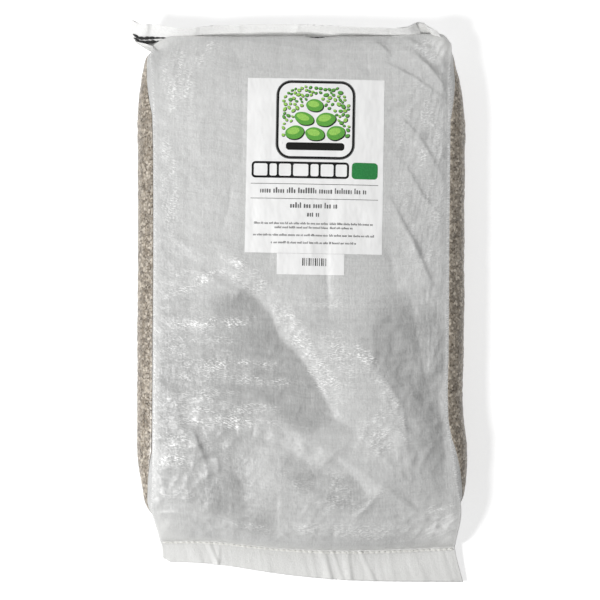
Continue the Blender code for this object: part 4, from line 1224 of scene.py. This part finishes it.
def make_stock_label(height_at, paper, dark):
    x, y = STOCK_LABEL_SHIFT, -(LABEL_HEIGHT + STOCK_LABEL_HEIGHT) / 2 - STOCK_LABEL_GAP
    make_sheet("stock_label", (x, y, STOCK_LABEL_WIDTH, STOCK_LABEL_HEIGHT), height_at, paper)
    bars = barcode_bars(x + BARCODE_SHIFT, y + BARCODE_LIFT)
    make_print("barcode_print", "barcode", bars, height_at, dark)


def tube(points, radius, sides=6):
    """Points and faces of a closed tube along a line of points."""
    points = np.asarray(points, float)
    radius = np.reshape(radius, (-1, 1, 1))
    ahead = np.gradient(points, axis=0)
    ahead /= np.linalg.norm(ahead, axis=1)[:, None]
    sideways = np.cross(ahead, (0, 0, 1))
    sideways /= np.linalg.norm(sideways, axis=1)[:, None]
    upward = np.cross(sideways, ahead)
    turns = np.linspace(0, 2 * np.pi, sides, endpoint=False)
    rings = points[:, None] + radius * (
        np.cos(turns)[None, :, None] * sideways[:, None] + np.sin(turns)[None, :, None] * upward[:, None]
    )
    faces = grid_faces(len(points), sides, wrap=True).tolist()
    last = (len(points) - 1) * sides
    faces += [list(range(sides))[::-1], list(range(last, last + sides))]
    return rings.reshape(-1, 3), faces


def make_thread(node, offset, depth, outward, swing, finish):
    """A chain stitch along a hem: strands that cross at the end of each stitch."""
    seam_row = max(outward, 0)
    length = float(place_x(1, seam_row) - place_x(-1, seam_row))
    steps = int(length / STITCH_LENGTH) * STEPS_IN_STITCH
    across = (1 - THREAD_END_MARGIN) * (2 * np.arange(steps + 1) / steps - 1)
    phase = np.pi * np.arange(steps + 1) / STEPS_IN_STITCH
    loose = smooth_step(across, *LOOSE_FROM) - smooth_step(across, *LOOSE_TO)
    radius = THREAD_RADIUS * (1 + LOOSE_END * (outward > 0) * loose)
    rise = radius * (STRAND_RISE[0] + STRAND_RISE[1] * np.abs(np.sin(phase)))
    all_points, all_faces = [], []
    for strand in (-1, 0, 1):
        shift = strand * swing * radius * np.sin(phase)
        row = seam_row + outward * (offset + shift) / depth
        z = hem_middle(across, row) + HEM_THICKNESS / 2 + rise
        line = np.stack([place_x(across, row), place_y(across, row), z], -1)
        points, faces = tube(line, radius * STRAND_SHARE)
        first = sum(map(len, all_points))
        all_faces += [[number + first for number in face] for face in faces]
        all_points.append(points)
    mesh = mesh_of(node + "_stitches", np.concatenate(all_points), all_faces)
    fit(node + "_stitches", mesh, finish, node)


class Finish:
    """A material, with short calls to add nodes to it."""

    def __init__(self, name, **values):
        self.material = bpy.data.materials.new(name)
        self.material.use_nodes = True
        self.nodes = self.material.node_tree.nodes
        self.links = self.material.node_tree.links
        self.shader = self.nodes["Principled BSDF"]
        for key, value in values.items():
            self.shader.inputs[key.replace("_", " ").title().replace("Ior", "IOR")].default_value = value

    def add(self, kind, inputs=(), output=0, **settings):
        node = self.nodes.new(kind)
        for key, value in settings.items():
            setattr(node, key, value)
        for index, value in dict(inputs).items():
            if isinstance(value, bpy.types.NodeSocket):
                self.links.new(value, node.inputs[index])
            else:
                node.inputs[index].default_value = value
        return node.outputs[output]

    def math(self, operation, a, b=0.5):
        return self.add("ShaderNodeMath", {0: a, 1: b}, operation=operation)

    def vector(self, operation, a, b=(0, 0, 0), output=0):
        return self.add("ShaderNodeVectorMath", {0: a, 1: b}, output, operation=operation)

    def mix(self, factor, a, b):
        return self.add("ShaderNodeMix", {0: factor, 6: a, 7: b}, 2, data_type="RGBA")

    def spread(self, value, low, high, to_low, to_high):
        return self.add("ShaderNodeMapRange", {0: value, 1: low, 2: high, 3: to_low, 4: to_high})

    def noise(self, vector, scale, detail):
        return self.add("ShaderNodeTexNoise", {"Vector": vector, "Scale": scale, "Detail": detail})

    def place(self):
        return self.add("ShaderNodeTexCoord", output=3)

    def field(self, name):
        """A value that the mesh keeps at each of its points."""
        return self.add("ShaderNodeAttribute", output=2, attribute_name=name)

    def cloudy(self, vector, scale, detail, low, high):
        """Noise that runs softly from one value to the other."""
        return self.spread(self.noise(vector, scale, detail), 0.3, 0.7, low, high)

    def done(self, height, distance, strength, **sockets):
        """Links the sockets and the relief to the shader, and gives the material."""
        relief = {"Strength": strength, "Distance": distance, "Height": height}
        sockets["normal"] = self.add("ShaderNodeBump", relief)
        for key, socket in sockets.items():
            self.links.new(socket, self.shader.inputs[key.replace("_", " ").title()])
        return self.material

    def weave(self, width):
        """Height of a plain weave of flat tapes, each tape's own shade, and each crossing's own value."""
        place = self.add("ShaderNodeAttribute", attribute_name="weave", output=1)
        scaled = self.vector("MULTIPLY", place, (1 / width, 1 / width, 1))
        cell = self.vector("FLOOR", scaled)
        u, v = (self.add("ShaderNodeSeparateXYZ", {0: cell}, i) for i in range(2))
        across_tape = self.add("ShaderNodeTexWhiteNoise", {"W": v}, 0, noise_dimensions="1D")
        shifted = self.math("ADD", u, 0.37)
        up_tape = self.add("ShaderNodeTexWhiteNoise", {"W": shifted}, 0, noise_dimensions="1D")
        chance = self.add("ShaderNodeTexWhiteNoise", {"Vector": cell}, 1, noise_dimensions="3D")
        inside = self.vector("SUBTRACT", self.vector("FRACTION", scaled), (0.5, 0.5, 0))
        tilt = self.vector("DOT_PRODUCT", inside, self.vector("SUBTRACT", chance, (0.5, 0.5, 0.5)), 1)
        tapes = self.math("MULTIPLY", self.math("ADD", across_tape, up_tape), 0.5)
        height = self.math("ADD", tilt, self.math("MULTIPLY", tapes, 0.4))
        value = self.add("ShaderNodeSeparateColor", {0: chance})
        return height, tapes, value

    def glints(self):
        """Painted glints: short light marks along the tapes that run across the sack."""
        place = self.add("ShaderNodeAttribute", attribute_name="weave", output=1)
        marks = self.noise(self.vector("MULTIPLY", place, (1.0, 3.4, 1.0)), 170.0, 2.0)
        return self.spread(marks, 0.50, 0.57, 0.0, 1.0)


def woven_finish():
    """White woven tapes: greyer where the stones show through, white where the fabric is alone. The whitened
    marks are partly stress whitening and mostly painted glints and highlights, also on the head hem and in
    the corners; the darker patches are painted shade, partly stones showing through.
    """
    made = Finish("white_woven_tapes", ior=1.49, specular_ior_level=0.42)
    height, own, value = made.weave(TAPE)
    glints, place = made.glints(), made.place()
    whitened_and_glinting, backing_and_lit_corners, pressed_and_shaded = made.field("whitening_and_glints"), made.field("backing_and_lit_corners"), made.field("pressed_and_shaded")
    broad, mottle = made.cloudy(place, 9.0, 3.0, -0.035, 0.03), made.cloudy(place, 85.0, 2.0, -0.03, 0.03)
    drawn = made.vector("MULTIPLY", place, (2.6, 0.5, 1.0))
    mottle = made.math("ADD", mottle, made.cloudy(drawn, 190.0, 2.0, -0.055, 0.055))
    shade = made.math("ADD", broad, mottle)
    tapes = made.math("ADD", made.spread(own, 0, 1, -0.055, 0.055), made.spread(value, 0, 1, -0.025, 0.025))
    shade = made.math("ADD", made.math("MULTIPLY", made.math("ADD", shade, tapes), backing_and_lit_corners), 1.0)
    # Painted shade, partly stones showing through: the fabric is drawn darker in the shaded patches and
    # beside deep creases.
    darker = made.math("MULTIPLY", pressed_and_shaded, made.cloudy(place, 22.0, 3.0, 0.75, 1.2))
    shade = made.math("SUBTRACT", shade, made.math("MULTIPLY", darker, PRESSED_SHADE))
    free = made.mix(backing_and_lit_corners, (0.74, 0.74, 0.725, 1), (0.585, 0.587, 0.58, 1))
    cloth = made.vector("SCALE", free)
    made.links.new(shade, cloth.node.inputs["Scale"])
    # Painted glints and highlights, with some real stress whitening: broken white marks, and even whitening
    # where no stones lie behind the fabric.
    white_and_glint_share = made.math("MULTIPLY", whitened_and_glinting, made.math("MAXIMUM", glints, made.math("SUBTRACT", 1.0, backing_and_lit_corners)))
    colour = made.mix(white_and_glint_share, cloth, (1.0, 1.0, 0.99, 1))
    veins = made.noise(made.vector("MULTIPLY", place, (1.5, 0.8, 1.0)), 34.0, 3.0)
    veins = made.math("ABSOLUTE", made.math("SUBTRACT", veins, 0.5))
    creases = made.spread(veins, 0.0, 0.07, 0.0, CREASE_DEPTH)
    slack = made.math("MULTIPLY", made.spread(pressed_and_shaded, 0.0, 1.0, 0.15, 1.0), backing_and_lit_corners)
    height = made.math("ADD", height, made.math("MULTIPLY", creases, slack))
    rough = made.math("SUBTRACT", made.spread(value, 0, 1, 0.34, 0.46), made.math("MULTIPLY", white_and_glint_share, 0.14))
    return made.done(height, 0.0004, 1.0, base_color=colour, roughness=rough)


def gusset_finish():
    """Brown and grey stones seen through clear woven tapes."""
    made = Finish("clear_tapes_over_pumice", ior=1.49, coat_weight=0.35, coat_roughness=0.25)
    place = made.place()
    stones = made.nodes.new("ShaderNodeTexVoronoi")
    stones.inputs["Scale"].default_value = 260.0
    made.links.new(place, stones.inputs["Vector"])
    chance = made.add("ShaderNodeSeparateColor", {0: stones.outputs["Color"]})
    ramp = made.nodes.new("ShaderNodeValToRGB")
    while len(ramp.color_ramp.elements) < len(STONE_TONES):
        ramp.color_ramp.elements.new(0.5)
    for element, (spot, tone) in zip(ramp.color_ramp.elements, STONE_TONES):
        element.position = spot
        element.color = (*tone, 1)
    made.links.new(chance, ramp.inputs[0])
    # Painted shade: each stone is drawn darker towards its edge, where it meets the next.
    dark = made.spread(stones.outputs["Distance"], 0.25, 0.75, 1.0, 0.65)
    fine = made.cloudy(place, 420.0, 3.0, 0.75, 1.2)
    stone = made.mix(made.math("MULTIPLY", dark, fine), (0.012, 0.010, 0.008, 1), ramp.outputs[0])
    height, _, value = made.weave(TAPE)
    veil = made.mix(made.spread(value, 0.0, 1.0, 0.04, 0.34), stone, (0.66, 0.60, 0.52, 1))
    return made.done(height, 0.0006, 1.0, base_color=veil, roughness=made.spread(value, 0, 1, 0.25, 0.5))


def pumice_finish():
    made = Finish("pumice_stone", roughness=0.95)
    grain = made.noise(made.place(), 160.0, 4.0)
    colour = made.mix(made.spread(grain, 0.3, 0.7, 0, 1), (0.10, 0.08, 0.065, 1), (0.28, 0.235, 0.19, 1))
    return made.done(grain, 0.002, 0.8, base_color=colour)


def paper_finish():
    made = Finish("label_paper_sheet", specular_ior_level=0.45)
    place = made.place()
    fibre = made.noise(place, 900.0, 3.0)
    cockle = made.noise(made.vector("MULTIPLY", place, (1.6, 0.8, 1.0)), 30.0, 2.0)
    # Painted shade: the paper is drawn darker in its cockles' hollows and lighter on their crests.
    colour = made.mix(made.spread(cockle, 0.3, 0.7, 0, 1), (0.84, 0.84, 0.835, 1), (0.89, 0.89, 0.885, 1))
    height = made.math("ADD", made.math("MULTIPLY", cockle, 8.0), made.math("MULTIPLY", fibre, 0.06))
    rough = made.spread(fibre, 0.3, 0.7, 0.42, 0.58)
    return made.done(height, 0.0008, 0.5, base_color=colour, roughness=rough)


def ink_finish(name, colour):
    made = Finish(name, specular_ior_level=0.2)
    wear = made.noise(made.place(), 520.0, 4.0)
    lighter = tuple(min(1.0, part * 1.35 + 0.005) for part in colour)
    tone = made.mix(made.spread(wear, 0.35, 0.7, 0, 1), (*colour, 1), (*lighter, 1))
    rough = made.spread(wear, 0.3, 0.7, INK_ROUGHNESS - 0.06, INK_ROUGHNESS + 0.08)
    return made.done(wear, 0.0003, 0.25, base_color=tone, roughness=rough)


def thread_finish(name, colour):
    made = Finish(name, roughness=0.75, sheen_weight=0.25)
    place = made.place()
    wave = {"Vector": place, "Scale": 420.0, "Distortion": 1.5}
    plies = made.add("ShaderNodeTexWave", wave, 1, bands_direction="DIAGONAL")
    lighter = tuple(min(1.0, part * 1.4 + 0.01) for part in colour)
    tone = made.mix(made.cloudy(place, 800.0, 3.0, 0, 1), (*colour, 1), (*lighter, 1))
    return made.done(plies, 0.0004, 0.6, base_color=tone)


def make_stage():
    """A white floor that keeps the object's shadow, and a white surround."""
    made = Finish("floor_white", base_color=(0.80, 0.80, 0.80, 1), roughness=0.9, specular_ior_level=0.1)
    rays = made.nodes.new("ShaderNodeLightPath")
    seen = made.math("MAXIMUM", rays.outputs["Is Camera Ray"], rays.outputs["Is Glossy Ray"])
    made.shader.inputs["Emission Color"].default_value = (1, 1, 1, 1)
    made.links.new(made.math("MULTIPLY", seen, FLOOR_GLOW), made.shader.inputs["Emission Strength"])
    mesh = mesh_of("floor", [(-8, -8, 0), (8, -8, 0), (8, 8, 0), (-8, 8, 0)], [(0, 1, 2, 3)])
    floor = link("floor", mesh, made.material)
    floor.location.z = -0.0006

    world = bpy.data.worlds.new("surround")
    world.use_nodes = True
    nodes, links = world.node_tree.nodes, world.node_tree.links
    rays = nodes.new("ShaderNodeLightPath")
    strength = nodes.new("ShaderNodeMapRange")
    strength.inputs[3].default_value = WORLD_LIGHT
    strength.inputs[4].default_value = 1.0
    links.new(rays.outputs["Is Camera Ray"], strength.inputs[0])
    nodes["Background"].inputs["Color"].default_value = (1, 1, 1, 1)
    links.new(strength.outputs[0], nodes["Background"].inputs["Strength"])
    bpy.context.scene.world = world


def make_lamp(name, place, size, power):
    data = bpy.data.lights.new(name, "AREA")
    data.shape = "DISK"
    data.size = size
    data.energy = power
    lamp = bpy.data.objects.new(name, data)
    lamp.location = place
    lamp.rotation_euler = (-Vector(place)).to_track_quat("-Z", "Y").to_euler()
    bpy.context.scene.collection.objects.link(lamp)


def make_camera():
    data = bpy.data.cameras.new("camera")
    data.sensor_width = 36.0
    data.lens = CAMERA_LENS
    camera = bpy.data.objects.new("camera", data)
    tilt = math.radians(90 - CAMERA_ELEVATION)
    aim = Vector(CAMERA_AIM)
    camera.location = aim + CAMERA_DISTANCE * Vector((0, -math.sin(tilt), math.cos(tilt)))
    camera.rotation_euler = (tilt, 0, 0)
    bpy.context.scene.collection.objects.link(camera)
    bpy.context.scene.camera = camera


def main():
    make_camera()
    make_stage()
    make_lamp("key_lamp", KEY_PLACE, KEY_SIZE, KEY_POWER)
    make_lamp("fill_lamp", FILL_PLACE, FILL_SIZE, FILL_POWER)
    scene = bpy.context.scene
    scene.view_settings.view_transform = "Standard"

    sack = make_sack(woven_finish())
    clear = gusset_finish()
    make_gusset(-1, "gusset_left", clear)
    make_gusset(1, "gusset_right", clear)
    make_filling(pumice_finish())

    black = thread_finish("black_thread_ply", (0.012, 0.012, 0.012))
    white = thread_finish("white_thread_ply", (0.72, 0.71, 0.68))
    for name, offset in HEAD_THREAD_OFFSETS.items():
        node = f"head_thread_{name}"
        make_thread(node, offset, HEAD_HEM_DEPTH, 1, TIGHT_SWING, black)
    make_thread("foot_thread", FOOT_THREAD_OFFSET, FOOT_HEM_DEPTH, -1, OPEN_SWING, white)

    height_at = make_surface_finder(sack)
    dark = ink_finish("black_ink", (0.006, 0.006, 0.006))
    green = ink_finish("green_ink", (0.10, 0.32, 0.05))
    light_green = ink_finish("light_green_ink", (0.27, 0.52, 0.10))
    deep_green = ink_finish("deep_green_ink", (0.022, 0.19, 0.05))
    grey = ink_finish("grey_ink", (0.10, 0.10, 0.10))
    paper = paper_finish()
    make_main_label(height_at, paper, dark, green, light_green, deep_green, grey)
    make_stock_label(height_at, paper, dark)


main()
